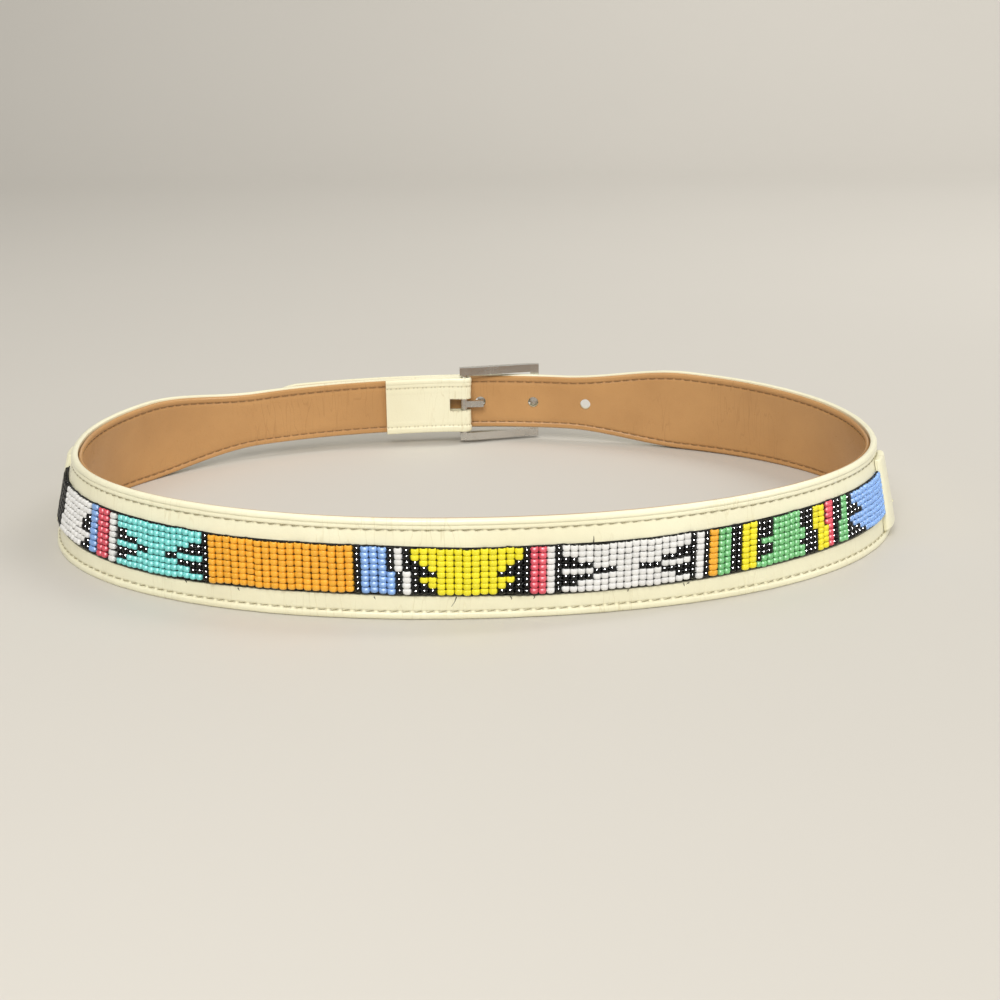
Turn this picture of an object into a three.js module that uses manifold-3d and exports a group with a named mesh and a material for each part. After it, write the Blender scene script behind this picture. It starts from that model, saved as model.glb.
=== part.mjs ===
// A beaded leather belt, fastened and standing on its lower edge. Millimetres, +Z up.
// The middle of the worn back faces -Y and the buckle is at +Y.
import * as THREE from 'three';
import { mergeVertices } from 'three/addons/utils/BufferGeometryUtils.js';
import Module from 'manifold-3d';

const wasm = await Module();
wasm.setup();

// Waist ring: the oval that the strap's lower outer edge follows, and how the wall leans
const RING_HALF_WIDTH = 172;
const RING_HALF_DEPTH = 113.5;
const RING_EXPONENT = 2.117;
const LEAN_AT_SIDES = THREE.MathUtils.degToRad(13.8);
const LEAN_AT_MIDDLE = THREE.MathUtils.degToRad(-2.9);

// Leather
const BELT_WIDTH = 38;
const STRAP_THICKNESS = 2.6;
const LINING_THICKNESS = 1.5;
const LINING_INSET = 0.5;
const LINING_ROUND = 0.4;
const LINING_FROM_BAR = 10;
const TOP_RIM_WIDTH = 4.8;
const BOTTOM_RIM_WIDTH = 3.6;
const RIM_RISE = 0.7;
const GAP = 0.3;

// Narrowed ends, pointed tip and holes
const END_WIDTH = 26;
const TAPER_LENGTH = 60;
const BUCKLE_SIDE_END = 100;
const TONGUE_SIDE_END = 48;
const TONGUE_LENGTH = 95;
const TIP_LENGTH = 15;
const HOLE_RADIUS = 2.5;
const HOLE_PITCH = 25.4;
const HOLES_TOWARDS_TIP = 2;
const HOLES_TOWARDS_BODY = 2;
const HOLE_SIDES = 16;
const PUNCH_MARGIN = 1;
const CLIMB_LENGTH = 78;

// Beadwork, placed by arc length from the middle of the back
const BAND_START = -220;
const BAND_END = 182;
const BAND_WIDTH = 18.4;
const BAND_ROWS = 8;
const BAND_PROUD = 1.6;
const BAND_VALLEY = 0.6;
const RECESS_DEPTH = 0.8;
const RECESS_LIP = 0.3;
const RIB_FLAT = [0.3, 0.7];
const TAB_LENGTH = 16;
const TAB_PROUD = 2.6;
const TAB_ROUND = 0.9;

// Buckle
const BAR_RADIUS = 1.6;
const BAR_SIDES = 10;
const BAR_INSET = 0.5;
const FOLD_THICKNESS = 1.8;
const FOLD_STEPS = 6;
const FLAP_LENGTH = 38;
const FLAP_MIDDLE = 23;
const FLAP_BEND = 8;
const SLOT_CLEARANCE = 1.4;
const SLOT_REACH = { back: 6, forward: 7, inward: 12, outward: 1 };
const BUCKLE_LENGTH = 36;
const BUCKLE_HEIGHT = 35.2;
const RAIL_WIDTH = 3.6;
const FRAME_THICKNESS = 3;
const PRONG_WIDTH = 3;
const PRONG_THICKNESS = 2.4;
const PRONG_STEM_HALF = 1.3;
const PRONG_OVERHANG = 1;
const PRONG_BITE = 0.3;
const PRONG_TIP_DROP = 0.6;

// How finely the ring is faceted
const TURN_PER_STATION = THREE.MathUtils.degToRad(6);
const LONGEST_STATION = 18;

// Rolled rim: shares of the rim's width in from the edge, and of its rise below the crest
const RIM_PROFILE = [
  { inward: 0.0, below: 1.45 },
  { inward: 0.14, below: 0.45 },
  { inward: 0.4, below: 0.0 },
  { inward: 0.66, below: 0.12 },
  { inward: 0.86, below: 1.3 },
  { inward: 1.0, below: 1.0 },
];

// Tab crown: shares of the tab's length, and of its height above the face
const TAB_PROFILE = [
  { along: 0.0, height: 0.5 },
  { along: 0.06, height: 0.8 },
  { along: 0.2, height: 0.96 },
  { along: 0.5, height: 1.0 },
  { along: 0.8, height: 0.96 },
  { along: 0.94, height: 0.8 },
  { along: 1.0, height: 0.5 },
];

// Pointed tip: shares of the tip's length, and of the end's width
const TIP_PROFILE = [
  { along: 0.0, width: 1.0 },
  { along: 0.35, width: 0.93 },
  { along: 0.6, width: 0.79 },
  { along: 0.8, width: 0.6 },
  { along: 0.93, width: 0.38 },
  { along: 1.0, width: 0.2 },
];

const WALL = STRAP_THICKNESS + GAP + LINING_THICKNESS;
const FACE = -RIM_RISE;
const MIDDLE_HEIGHT = BELT_WIDTH / 2;

// One point of the oval: place, outward normal and lean, from its angle
function ovalAt(angle) {
  const c = Math.cos(angle);
  const d = Math.sin(angle);
  const power = 2 / RING_EXPONENT;
  const x = RING_HALF_WIDTH * Math.sign(c) * Math.abs(c) ** power;
  const y = RING_HALF_DEPTH * Math.sign(d) * Math.abs(d) ** power;
  const gx = Math.sign(c) * Math.abs(x / RING_HALF_WIDTH) ** (RING_EXPONENT - 1) / RING_HALF_WIDTH;
  const gy = Math.sign(d) * Math.abs(y / RING_HALF_DEPTH) ** (RING_EXPONENT - 1) / RING_HALF_DEPTH;
  const size = Math.hypot(gx, gy);
  const lean = LEAN_AT_MIDDLE + (LEAN_AT_SIDES - LEAN_AT_MIDDLE) * c * c;
  return { x, y, nx: gx / size, ny: gy / size, lean };
}

// Arc length at mid height against the oval's angle, starting at the middle of the back
const SAMPLES = 2880;
const angles = [];
const lengths = [];
for (let i = 0; i <= SAMPLES; i += 1) {
  const angle = -Math.PI / 2 + (2 * Math.PI * i) / SAMPLES;
  const p = ovalAt(angle);
  const inward = MIDDLE_HEIGHT * Math.sin(p.lean);
  const place = { x: p.x - inward * p.nx, y: p.y - inward * p.ny };
  const before = angles.length ? angles[i - 1].place : place;
  const step = Math.hypot(place.x - before.x, place.y - before.y);
  angles.push({ angle, place, turn: Math.atan2(p.ny, p.nx) });
  lengths.push((lengths[i - 1] ?? 0) + step);
}
const RING_LENGTH = lengths[SAMPLES];

// The oval's point at a distance along the strap from the middle of the back
function ringAt(along) {
  const wrapped = ((along % RING_LENGTH) + RING_LENGTH) % RING_LENGTH;
  let low = 0;
  let high = SAMPLES;
  while (high - low > 1) {
    const half = (low + high) >> 1;
    if (lengths[half] <= wrapped) low = half;
    else high = half;
  }
  const share = (wrapped - lengths[low]) / (lengths[high] - lengths[low]);
  return ovalAt(angles[low].angle + share * (angles[high].angle - angles[low].angle));
}

// Bends a point of the flat strap round the ring: along it, out from the rim's crest, up its width
function bend(along, out, up) {
  const p = ringAt(along);
  const c = Math.cos(p.lean);
  const s = Math.sin(p.lean);
  const level = out * c - up * s;
  return new THREE.Vector3(p.x + level * p.nx, p.y + level * p.ny, out * s + up * c);
}

// The height up the width that lies on the surface the belt stands on, at a depth in the wall
function floorHeight(along, out) {
  return -out * Math.tan(ringAt(along).lean);
}

// Stations shared by all bent pieces, so that their facets run side by side
const stations = [];
for (let i = 1, last = 0; i <= SAMPLES; i += 1) {
  const turned = angles[i].turn - angles[last].turn;
  const wrapped = Math.abs(Math.atan2(Math.sin(turned), Math.cos(turned)));
  if (wrapped > TURN_PER_STATION || lengths[i] - lengths[last] > LONGEST_STATION) {
    stations.push(lengths[i]);
    last = i;
  }
}

// The shared stations between two places, with both ends
function stationsBetween(start, end, margin = 1.5) {
  const inside = [-1, 0, 1]
    .flatMap((lap) => stations.map((along) => along + lap * RING_LENGTH))
    .filter((along) => along > start + margin && along < end - margin)
    .sort((a, b) => a - b);
  return [start, ...inside, end];
}

function smooth(share) {
  const x = Math.min(1, Math.max(0, share));
  return x * x * (3 - 2 * x);
}

// A closed solid through rows of points, one row for each station, with both ends capped.
// Faces that lie against each other run opposite ways round their sections, so that the
// twist of the leaning wall splits both along the same diagonal.
function loft(rows, capOutline) {
  const count = rows[0].length;
  const positions = rows.flat().flatMap((p) => [p.x, p.y, p.z]);
  const index = [];
  for (let i = 0; i + 1 < rows.length; i += 1) {
    for (let k = 0; k < count; k += 1) {
      const a = i * count + k;
      const b = i * count + ((k + 1) % count);
      index.push(a, b, a + count, b, b + count, a + count);
    }
  }
  const last = (rows.length - 1) * count;
  for (const [a, b, c] of capTriangles(capOutline(0))) index.push(a, c, b);
  for (const [a, b, c] of capTriangles(capOutline(1))) index.push(last + a, last + b, last + c);
  return outward(positions, index);
}

// An outline's triangles, wound the way its points run
function capTriangles(outline) {
  const triangles = THREE.ShapeUtils.triangulateShape(outline.map((p) => p.clone()), []);
  const signed = ([a, b, c]) => THREE.ShapeUtils.area([outline[a], outline[b], outline[c]]);
  const sameWay = triangles.reduce((sum, t) => sum + signed(t), 0) * THREE.ShapeUtils.area(outline) > 0;
  return sameWay ? triangles : triangles.map(([a, b, c]) => [a, c, b]);
}

// Turns all faces out where a solid came out inside out
function outward(positions, index) {
  let volume = 0;
  for (let i = 0; i < index.length; i += 3) {
    const [a, b, c] = [0, 1, 2].map((k) => new THREE.Vector3().fromArray(positions, 3 * index[i + k]));
    volume += a.dot(b.cross(c));
  }
  const turned = [];
  for (let i = 0; i < index.length; i += 3) {
    turned.push(index[i], index[volume < 0 ? i + 2 : i + 1], index[volume < 0 ? i + 1 : i + 2]);
  }
  const geometry = new THREE.BufferGeometry();
  geometry.setAttribute('position', new THREE.Float32BufferAttribute(positions, 3));
  geometry.setIndex(turned);
  return geometry;
}

// A solid from rows of flat-strap points { along, out, up }
function loftFlat(rows) {
  const ends = [rows[0], rows[rows.length - 1]];
  const bent = rows.map((row) => row.map((p) => bend(p.along, p.out, p.up)));
  return loft(bent, (end) => ends[end].map((p) => new THREE.Vector2(p.capAt ?? p.out, p.up)));
}

// A prism of an outline in (along, out), running from one height up the width to another
function across(outline, low, high) {
  const rows = [low, high].map((up) => outline.map(([along, out]) => bend(along, out, up)));
  return loft(rows, () => outline.map(([along, out]) => new THREE.Vector2(along, out)));
}

function toManifold(geometry) {
  const bare = geometry.clone();
  bare.deleteAttribute('normal');
  bare.deleteAttribute('uv');
  const merged = mergeVertices(bare, 1e-5);
  return new wasm.Manifold(new wasm.Mesh({
    numProp: 3,
    vertProperties: new Float32Array(merged.attributes.position.array),
    triVerts: new Uint32Array(merged.index.array),
  }));
}

function fromManifold(solid) {
  const mesh = solid.getMesh();
  const geometry = new THREE.BufferGeometry();
  geometry.setAttribute('position', new THREE.Float32BufferAttribute(mesh.vertProperties, 3));
  geometry.setIndex(new THREE.Uint32BufferAttribute(mesh.triVerts, 1));
  return geometry;
}

// Where the buckle's bar stands: the two ends of the strap meet there
const BAR_ALONG = RING_LENGTH / 2;
const FOLD_RADIUS = BAR_RADIUS + GAP + FOLD_THICKNESS;
const BAR_OUT = -GAP + 0.1 - FOLD_RADIUS;
const TONGUE_OUT = WALL + GAP;
const TIP_ALONG = BAR_ALONG + TONGUE_LENGTH;

// How far the tongue's side of the strap has climbed out over the buckle's side
function climb(along) {
  return TONGUE_OUT * smooth((along - (BAR_ALONG - CLIMB_LENGTH)) / (CLIMB_LENGTH - BAR_RADIUS));
}

// The strap's width at a place: full, narrowed towards both ends and rounded at the tip
function widthAt(along) {
  const pastBuckleEnd = along - (-BAR_ALONG + BUCKLE_SIDE_END);
  const beforeTongueEnd = BAR_ALONG - TONGUE_SIDE_END - along;
  const full = smooth(Math.min(pastBuckleEnd, beforeTongueEnd) / TAPER_LENGTH);
  const width = END_WIDTH + (BELT_WIDTH - END_WIDTH) * full;
  const intoTip = (along - (TIP_ALONG - TIP_LENGTH)) / TIP_LENGTH;
  if (intoTip <= 0) return width;
  const next = TIP_PROFILE.findIndex((row) => row.along >= Math.min(1, intoTip));
  const [a, b] = [TIP_PROFILE[Math.max(0, next - 1)], TIP_PROFILE[Math.max(1, next)]];
  const share = (intoTip - a.along) / (b.along - a.along);
  return width * (a.width + share * (b.width - a.width));
}

// The recess's sloping sides, and how much of a narrow end's face is kept beside them
const STEP_WIDTH = 0.25;
const NARROW_SHARE = 0.15;
const LEAST_FACE = 1;

// The strap's section as points { deep, up }: deep is measured inward from the rim's crest
function strapSection(along, thickness, rise, recess, standing) {
  const width = widthAt(along);
  const low = MIDDLE_HEIGHT - width / 2;
  const high = MIDDLE_HEIGHT + width / 2;
  const fit = Math.min(1, width / (TOP_RIM_WIDTH + BOTTOM_RIM_WIDTH + LEAST_FACE));
  const faceLow = low + BOTTOM_RIM_WIDTH * fit;
  const faceHigh = high - TOP_RIM_WIDTH * fit;
  const face = faceHigh - faceLow;
  const recessHalf = BAND_WIDTH / 2 + GAP;
  const bandLow = Math.max(MIDDLE_HEIGHT - recessHalf, faceLow + NARROW_SHARE * face);
  const bandHigh = Math.min(MIDDLE_HEIGHT + recessHalf, faceHigh - NARROW_SHARE * face);
  const sideStep = Math.min(STEP_WIDTH, NARROW_SHARE * face / 2);
  const floor = (deep) => floorHeight(along, -deep);
  const edge = (deep) => (standing ? floor(deep) : Math.max(low, floor(deep)));
  const lower = RIM_PROFILE.map((row, i) => ({
    deep: row.below * rise,
    up: i ? low + row.inward * BOTTOM_RIM_WIDTH * fit : edge(row.below * rise),
  }));
  const upper = RIM_PROFILE.map((row) => ({
    deep: row.below * rise,
    up: high - row.inward * TOP_RIM_WIDTH * fit,
  })).reverse();
  return [
    { deep: thickness, up: edge(thickness) },
    ...lower,
    { deep: rise, up: bandLow - sideStep },
    { deep: rise + recess, up: bandLow },
    { deep: rise + recess, up: bandHigh },
    { deep: rise, up: bandHigh + sideStep },
    ...upper,
    { deep: thickness, up: high },
  ];
}

// Bows a flat stretch of an end's outline a little, so that its triangles keep every point of it
const CAP_BULGE = 1e-5;

// One station of the strap: its section, laid along the path's own outward direction
function strapRow({ along, out, towards = [0, 1], thickness = STRAP_THICKNESS, rise = RIM_RISE, recess = 0 }) {
  const standing = widthAt(along) > BELT_WIDTH - 1e-6 && out === 0;
  return strapSection(along, thickness, rise, recess, standing).map(({ deep, up }) => ({
    along: along - deep * towards[0],
    out: out - deep * towards[1],
    up,
    capAt: deep + CAP_BULGE * (up - MIDDLE_HEIGHT) ** 2,
  }));
}

function makeStrap() {
  const start = -BAR_ALONG;
  const thin = { thickness: FOLD_THICKNESS, rise: RIM_RISE / 2 };
  const flapOut = -(WALL + 1.2 * GAP) - FOLD_THICKNESS;
  const path = [FLAP_LENGTH, FLAP_MIDDLE, FLAP_BEND].map((length) => (
    { along: start + length, out: flapOut, towards: [0, -1], ...thin }));
  for (let i = 0; i <= FOLD_STEPS; i += 1) {
    const turn = -Math.PI / 2 - (Math.PI * i) / FOLD_STEPS;
    const towards = [Math.cos(turn), Math.sin(turn)];
    path.push({ along: start + FOLD_RADIUS * towards[0], out: BAR_OUT + FOLD_RADIUS * towards[1], towards, ...thin });
  }
  path.push({ along: start + FLAP_BEND, out: 0, ...thin });
  path.push({ along: start + 1.5 * FLAP_BEND, out: 0 });
  const recessStart = BAND_START - GAP;
  const recessEnd = BAND_END + GAP;
  for (const along of stationsBetween(start + 2 * FLAP_BEND, recessStart - RECESS_LIP)) path.push({ along, out: 0 });
  for (const along of stationsBetween(recessStart, recessEnd)) path.push({ along, out: 0, recess: RECESS_DEPTH });
  const tip = TIP_ALONG - TIP_LENGTH;
  for (const along of stationsBetween(recessEnd + RECESS_LIP, tip)) path.push({ along, out: climb(along) });
  for (const row of TIP_PROFILE.slice(1)) path.push({ along: tip + row.along * TIP_LENGTH, out: TONGUE_OUT });
  let strap = toManifold(loftFlat(path.map(strapRow)));
  for (const hole of tongueHoles()) strap = strap.subtract(hole);
  const slotHalf = PRONG_WIDTH / 2 + SLOT_CLEARANCE;
  const { back, forward, inward, outward: proud } = SLOT_REACH;
  const slot = [
    [start - back, -inward], [start + forward, -inward], [start + forward, proud], [start - back, proud],
  ];
  return fromManifold(strap.subtract(toManifold(across(slot, MIDDLE_HEIGHT - slotHalf, MIDDLE_HEIGHT + slotHalf))));
}

// Round punches through the tongue, the middle one where the prong stands
const PRONG_HOLE = BAR_ALONG - FOLD_RADIUS - BAR_RADIUS - HOLE_RADIUS - GAP;
function tongueHoles() {
  const holes = [];
  for (let i = -HOLES_TOWARDS_BODY; i <= HOLES_TOWARDS_TIP; i += 1) {
    const along = PRONG_HOLE + i * HOLE_PITCH;
    const ends = [climb(along) - WALL - PUNCH_MARGIN, climb(along) + PUNCH_MARGIN];
    const rows = ends.map((out) => Array.from({ length: HOLE_SIDES }, (_, k) => {
      const turn = (2 * Math.PI * k) / HOLE_SIDES;
      return { along: along + HOLE_RADIUS * Math.cos(turn), out, up: MIDDLE_HEIGHT + HOLE_RADIUS * Math.sin(turn) };
    }));
    const bent = rows.map((row) => row.map((p) => bend(p.along, p.out, p.up)));
    holes.push(toManifold(loft(bent, () => rows[0].map((p) => new THREE.Vector2(p.along, p.up)))));
  }
  return holes;
}

function makeLining() {
  const start = -BAR_ALONG + LINING_FROM_BAR;
  const tip = TIP_ALONG - TIP_LENGTH;
  const places = [...stationsBetween(start, tip), ...TIP_PROFILE.slice(1, -1).map((row) => tip + row.along * TIP_LENGTH)];
  const rows = places.map((along) => {
    const shift = climb(along);
    const outer = shift - STRAP_THICKNESS - GAP;
    const inner = outer - LINING_THICKNESS;
    const half = widthAt(along) / 2 - LINING_INSET;
    const high = MIDDLE_HEIGHT + half;
    const low = (out) => MIDDLE_HEIGHT - half + Math.max(0, floorHeight(along, out));
    const round = LINING_ROUND;
    return [
      { along, out: outer, up: high },
      { along, out: outer, up: low(outer) },
      { along, out: inner + round, up: low(inner + round) },
      { along, out: inner, up: low(inner) + round },
      { along, out: inner, up: high - round },
      { along, out: inner + round, up: high },
    ];
  });
  let lining = toManifold(loftFlat(rows));
  for (const hole of tongueHoles()) lining = lining.subtract(hole);
  return fromManifold(lining);
}

// The woven band: one ribbed solid, a rib for each row of beads
function makeBeadBand() {
  const low = MIDDLE_HEIGHT - BAND_WIDTH / 2;
  const pitch = BAND_WIDTH / BAND_ROWS;
  const floor = FACE - RECESS_DEPTH + GAP;
  const ribs = [];
  for (let row = 0; row < BAND_ROWS; row += 1) {
    ribs.push({ out: BAND_PROUD - BAND_VALLEY, up: low + row * pitch });
    for (const share of RIB_FLAT) ribs.push({ out: BAND_PROUD, up: low + (row + share) * pitch });
  }
  ribs.push({ out: BAND_PROUD - BAND_VALLEY, up: low + BAND_WIDTH });
  const section = [{ out: floor, up: low }, ...ribs, { out: floor, up: low + BAND_WIDTH }].reverse();
  return loftFlat(stationsBetween(BAND_START, BAND_END).map((along) => section.map((p) => ({ along, ...p }))));
}

// A leather tab laid across the face, from one rim to the other, with a rounded crown
function makeTab(start) {
  const low = BOTTOM_RIM_WIDTH + GAP / 2;
  const high = BELT_WIDTH - TOP_RIM_WIDTH - GAP / 2;
  const base = FACE + GAP;
  return loftFlat(TAB_PROFILE.map(({ along: share, height }) => {
    const along = start + share * TAB_LENGTH;
    const crown = base + (TAB_PROUD - base) * height;
    return [
      { along, out: base, up: low },
      { along, out: crown - TAB_ROUND, up: low },
      { along, out: crown, up: low + TAB_ROUND },
      { along, out: crown, up: high - TAB_ROUND },
      { along, out: crown - TAB_ROUND, up: high },
      { along, out: base, up: high },
    ];
  }));
}

// Frame, bar and prong as one plain piece
function makeBuckle() {
  const bar = BAR_ALONG;
  const far = bar - BUCKLE_LENGTH;
  const near = far + FRAME_THICKNESS + 1;
  const low = MIDDLE_HEIGHT - BUCKLE_HEIGHT / 2;
  const high = MIDDLE_HEIGHT + BUCKLE_HEIGHT / 2;
  const farBase = climb(near) + GAP;
  const farTop = farBase + FRAME_THICKNESS;
  const half = FRAME_THICKNESS / 2;
  const rail = [
    [bar + 2, BAR_OUT - half], [bar + 2, BAR_OUT + half], [near + 1, farTop], [far, farTop],
    [far, farBase], [near, farBase - 0.5], [bar - 4, BAR_OUT - half],
  ];
  const farBar = [[near, farBase], [near, farTop], [far, farTop], [far, farBase]];
  const heel = Array.from({ length: BAR_SIDES }, (_, k) => {
    const turn = (2 * Math.PI * k) / BAR_SIDES;
    return [bar + BAR_RADIUS * Math.cos(turn), BAR_OUT + BAR_RADIUS * Math.sin(turn)];
  });
  const stem = [PRONG_HOLE - PRONG_STEM_HALF, PRONG_HOLE + PRONG_STEM_HALF];
  const over = climb(stem[0]) + GAP;
  const prongHalf = PRONG_THICKNESS / 2;
  const tip = far - PRONG_OVERHANG;
  const bite = farTop - PRONG_BITE;
  const prong = [
    [bar, BAR_OUT - prongHalf], [bar, BAR_OUT + prongHalf],
    [stem[1], BAR_OUT + prongHalf], [stem[1], over + PRONG_THICKNESS],
    [near, bite + PRONG_THICKNESS], [tip, bite + PRONG_THICKNESS - PRONG_TIP_DROP],
    [tip, bite], [near, bite], [stem[0], over], [stem[0], BAR_OUT - prongHalf],
  ];
  const pieces = [
    across(rail, low, low + RAIL_WIDTH),
    across(rail, high - RAIL_WIDTH, high),
    across(farBar, low, high),
    across(heel, low + BAR_INSET, high - BAR_INSET),
    across(prong, MIDDLE_HEIGHT - PRONG_WIDTH / 2, MIDDLE_HEIGHT + PRONG_WIDTH / 2),
  ];
  return fromManifold(pieces.map(toManifold).reduce((whole, piece) => whole.add(piece)));
}

const cream = { color: 0xf4eed2, roughness: 0.5, metalness: 0 };
const FINISHES = {
  strap: cream,
  lining: { color: 0xb98a58, roughness: 0.7, metalness: 0 },
  bead_band: { color: 0xe8b03a, roughness: 0.25, metalness: 0 },
  end_tab_right: cream,
  end_tab_left: cream,
  buckle: { color: 0xb9bbbd, roughness: 0.3, metalness: 1 },
};

const SHAPES = {
  strap: makeStrap(),
  lining: makeLining(),
  bead_band: makeBeadBand(),
  end_tab_right: makeTab(BAND_END + GAP),
  end_tab_left: makeTab(BAND_START - GAP - TAB_LENGTH),
  buckle: makeBuckle(),
};

const belt = new THREE.Group();
for (const [name, geometry] of Object.entries(SHAPES)) {
  geometry.computeVertexNormals();
  const mesh = new THREE.Mesh(geometry, new THREE.MeshStandardMaterial(FINISHES[name]));
  mesh.name = name;
  belt.add(mesh);
}

// The origin is the middle of the belt's own box, on the surface that it stands on
const box = new THREE.Box3().setFromObject(belt, true);
belt.position.set(-(box.min.x + box.max.x) / 2, -(box.min.y + box.max.y) / 2, -box.min.z);

export default belt;
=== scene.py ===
"""A beaded leather belt, fastened as a loop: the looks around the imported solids. For Blender 4.5.

Every piece is worked out on the flat strap, in millimetres: along it from the middle of the back, out from
the crest of its rims, and up its width. bend() carries that round the waist ring, into metres.
"""

import bpy
import numpy as np
from bpy.props import FloatProperty, FloatVectorProperty, IntProperty, PointerProperty
from mathutils import Matrix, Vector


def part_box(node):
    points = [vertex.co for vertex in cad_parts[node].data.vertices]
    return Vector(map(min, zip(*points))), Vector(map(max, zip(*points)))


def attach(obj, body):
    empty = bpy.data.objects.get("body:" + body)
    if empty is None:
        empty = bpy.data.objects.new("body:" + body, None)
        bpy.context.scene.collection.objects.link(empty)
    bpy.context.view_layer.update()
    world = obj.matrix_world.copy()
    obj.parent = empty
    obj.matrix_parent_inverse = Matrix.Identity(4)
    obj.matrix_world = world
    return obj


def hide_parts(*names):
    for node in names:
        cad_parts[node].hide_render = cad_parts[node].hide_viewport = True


bl_info = {
    "name": "Beaded Leather Belt",
    "version": (1, 0, 0),
    "blender": (4, 5, 0),
    "location": "3D View > Sidebar > Belt",
    "description": "Makes the leather, beadwork, thread and stage of a beaded belt around its solids",
    "category": "Add Mesh",
}

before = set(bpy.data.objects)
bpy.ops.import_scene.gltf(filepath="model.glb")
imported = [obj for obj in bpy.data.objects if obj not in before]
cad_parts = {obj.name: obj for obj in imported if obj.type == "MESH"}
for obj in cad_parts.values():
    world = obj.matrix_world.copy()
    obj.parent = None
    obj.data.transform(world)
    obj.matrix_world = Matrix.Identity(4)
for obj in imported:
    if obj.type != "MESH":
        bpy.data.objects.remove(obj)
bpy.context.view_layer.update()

MM = 0.001
TAU = 2 * np.pi

# Waist ring, as the solids have it
RING_HALF_WIDTH = 172.0
RING_HALF_DEPTH = 113.5
RING_EXPONENT = 2.117
LEAN_AT_SIDES = np.radians(13.8)
LEAN_AT_MIDDLE = np.radians(-2.9)
RING_SAMPLES = 2880

# Leather, as the solids have it
BELT_WIDTH = 38.0
MIDDLE = BELT_WIDTH / 2
STRAP_THICKNESS = 2.6
LINING_THICKNESS = 1.5
LINING_INSET = 0.5
LINING_FROM_BAR = 10.0
TOP_RIM_WIDTH = 4.8
BOTTOM_RIM_WIDTH = 3.6
RIM_RISE = 0.7
GAP = 0.3
WALL = STRAP_THICKNESS + GAP + LINING_THICKNESS

# Narrowed ends, pointed tip, holes and fold
END_WIDTH = 26.0
TAPER_LENGTH = 60.0
BUCKLE_SIDE_END = 100.0
TONGUE_SIDE_END = 48.0
TONGUE_LENGTH = 95.0
TIP_LENGTH = 15.0
HOLE_RADIUS = 2.5
HOLE_PITCH = 25.4
HOLES_EACH_WAY = 2
CLIMB_LENGTH = 78.0
BAR_RADIUS = 1.6
FOLD_THICKNESS = 1.8
FLAP_LENGTH = 38.0
FLAP_BEND = 8.0
SLOT_HALF = 2.9
SLOT_BACK = 6.0
SLOT_FORWARD = 7.0

# Beadwork and end tabs, as the solids have them
BAND_START = -220.0
BAND_END = 182.0
BAND_WIDTH = 18.4
BAND_PROUD = 1.6
RECESS_DEPTH = 0.8
RECESS_LIP = 0.3
TAB_LENGTH = 16.0
TAB_PROUD = 2.6
TAB_ROUND = 0.9

# Where the face meets the beadwork: how far it reaches over the recess, its rise, and the width of its slope
LIP_INWARD = 0.22
LIP_RISE = 0.33
LIP_SLOPE = 0.25

# Section of the strap: the least face between the rims, the share of the face kept beside the recess, the
# steps in from the inner side's rounded corners, and the lengths of the waves in its outer side
LEAST_FACE = 1.0
FACE_KEPT = 0.15
INNER_CORNER = (0.9, 0.26, 0.0)
STRAP_WAVES = (83.0, 37.0, 17.0, 11.0)

# Lining: how far its stitches are from its edge, half the width of their groove, and the soft rim outside it
LINING_STITCH_INSET = 2.75
LINING_GROOVE_HALF = 0.45
LINING_RIM_INSET = 1.3
LINING_RIM_HALF = 0.8
LINING_RIM_RISE = 0.08

# Rolled rim: shares of the rim's width in from the edge, and of its rise below the crest
LOWER_RIM = ((0.0, 1.45), (0.14, 0.45), (0.4, 0.0), (0.66, 0.12), (0.86, 1.15), (1.0, 1.0))
UPPER_RIM = (
    (0.0, 1.45),
    (0.1, 0.5),
    (0.26, 0.0),
    (0.41, 0.12),
    (0.48, 0.62),
    (0.56, 0.46),
    (0.76, 0.5),
    (0.86, 1.15),
    (1.0, 1.0),
)
STITCH_SHARE = 0.86
GROOVE_SHARE = 1.15

# What a piece without stitches gives as its distance from the stitch line
NO_STITCHES = 20.0

# Pointed tip: shares of the tip's length and of the end's width
TIP_PROFILE = ((0.0, 1.0), (0.35, 0.93), (0.6, 0.79), (0.8, 0.6), (0.93, 0.38), (1.0, 0.2))

# Tab crown in the solids: shares of the tab's length and of its height
TAB_PROFILE = ((0.0, 0.5), (0.06, 0.8), (0.2, 0.96), (0.5, 1.0), (0.8, 0.96), (0.94, 0.8), (1.0, 0.5))

# How finely the new pieces are drawn
STATION = 2.0
RIM_POINTS = 25
FACE_POINTS = 7
SEED = 8

# Rows of beads, counted down from the top one
BEAD_ROWS = 8
TOP_ROW_HEIGHT = 27.2
ROW_PITCH = 2.19
ALL_ROWS = (0, 1, 2, 3, 4, 5, 6, 7)
UPPER_ROWS = (0, 1, 2, 3)
LOWER_ROWS = (4, 5, 6, 7)

# Black motifs worked into a run of colour: for each row, its first column and the one after its last, counted
# from the run's end
PLAIN = ((0, 0),) * BEAD_ROWS
ARROW = ((0, 0), (0, 0), (0, 2), (0, 4), (4, 6), (0, 4), (0, 2), (0, 0))
LONG_ARROW = ((0, 0), (0, 0), (0, 2), (0, 4), (4, 7), (0, 4), (0, 2), (0, 0))
STEPS = ((0, 0), (0, 0), (0, 1), (0, 2), (0, 3), (0, 1), (0, 2), (0, 3))
SHORT_STEPS = ((0, 0), (0, 0), (0, 1), (0, 2), (0, 2), (0, 0), (0, 1), (0, 2))

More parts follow.
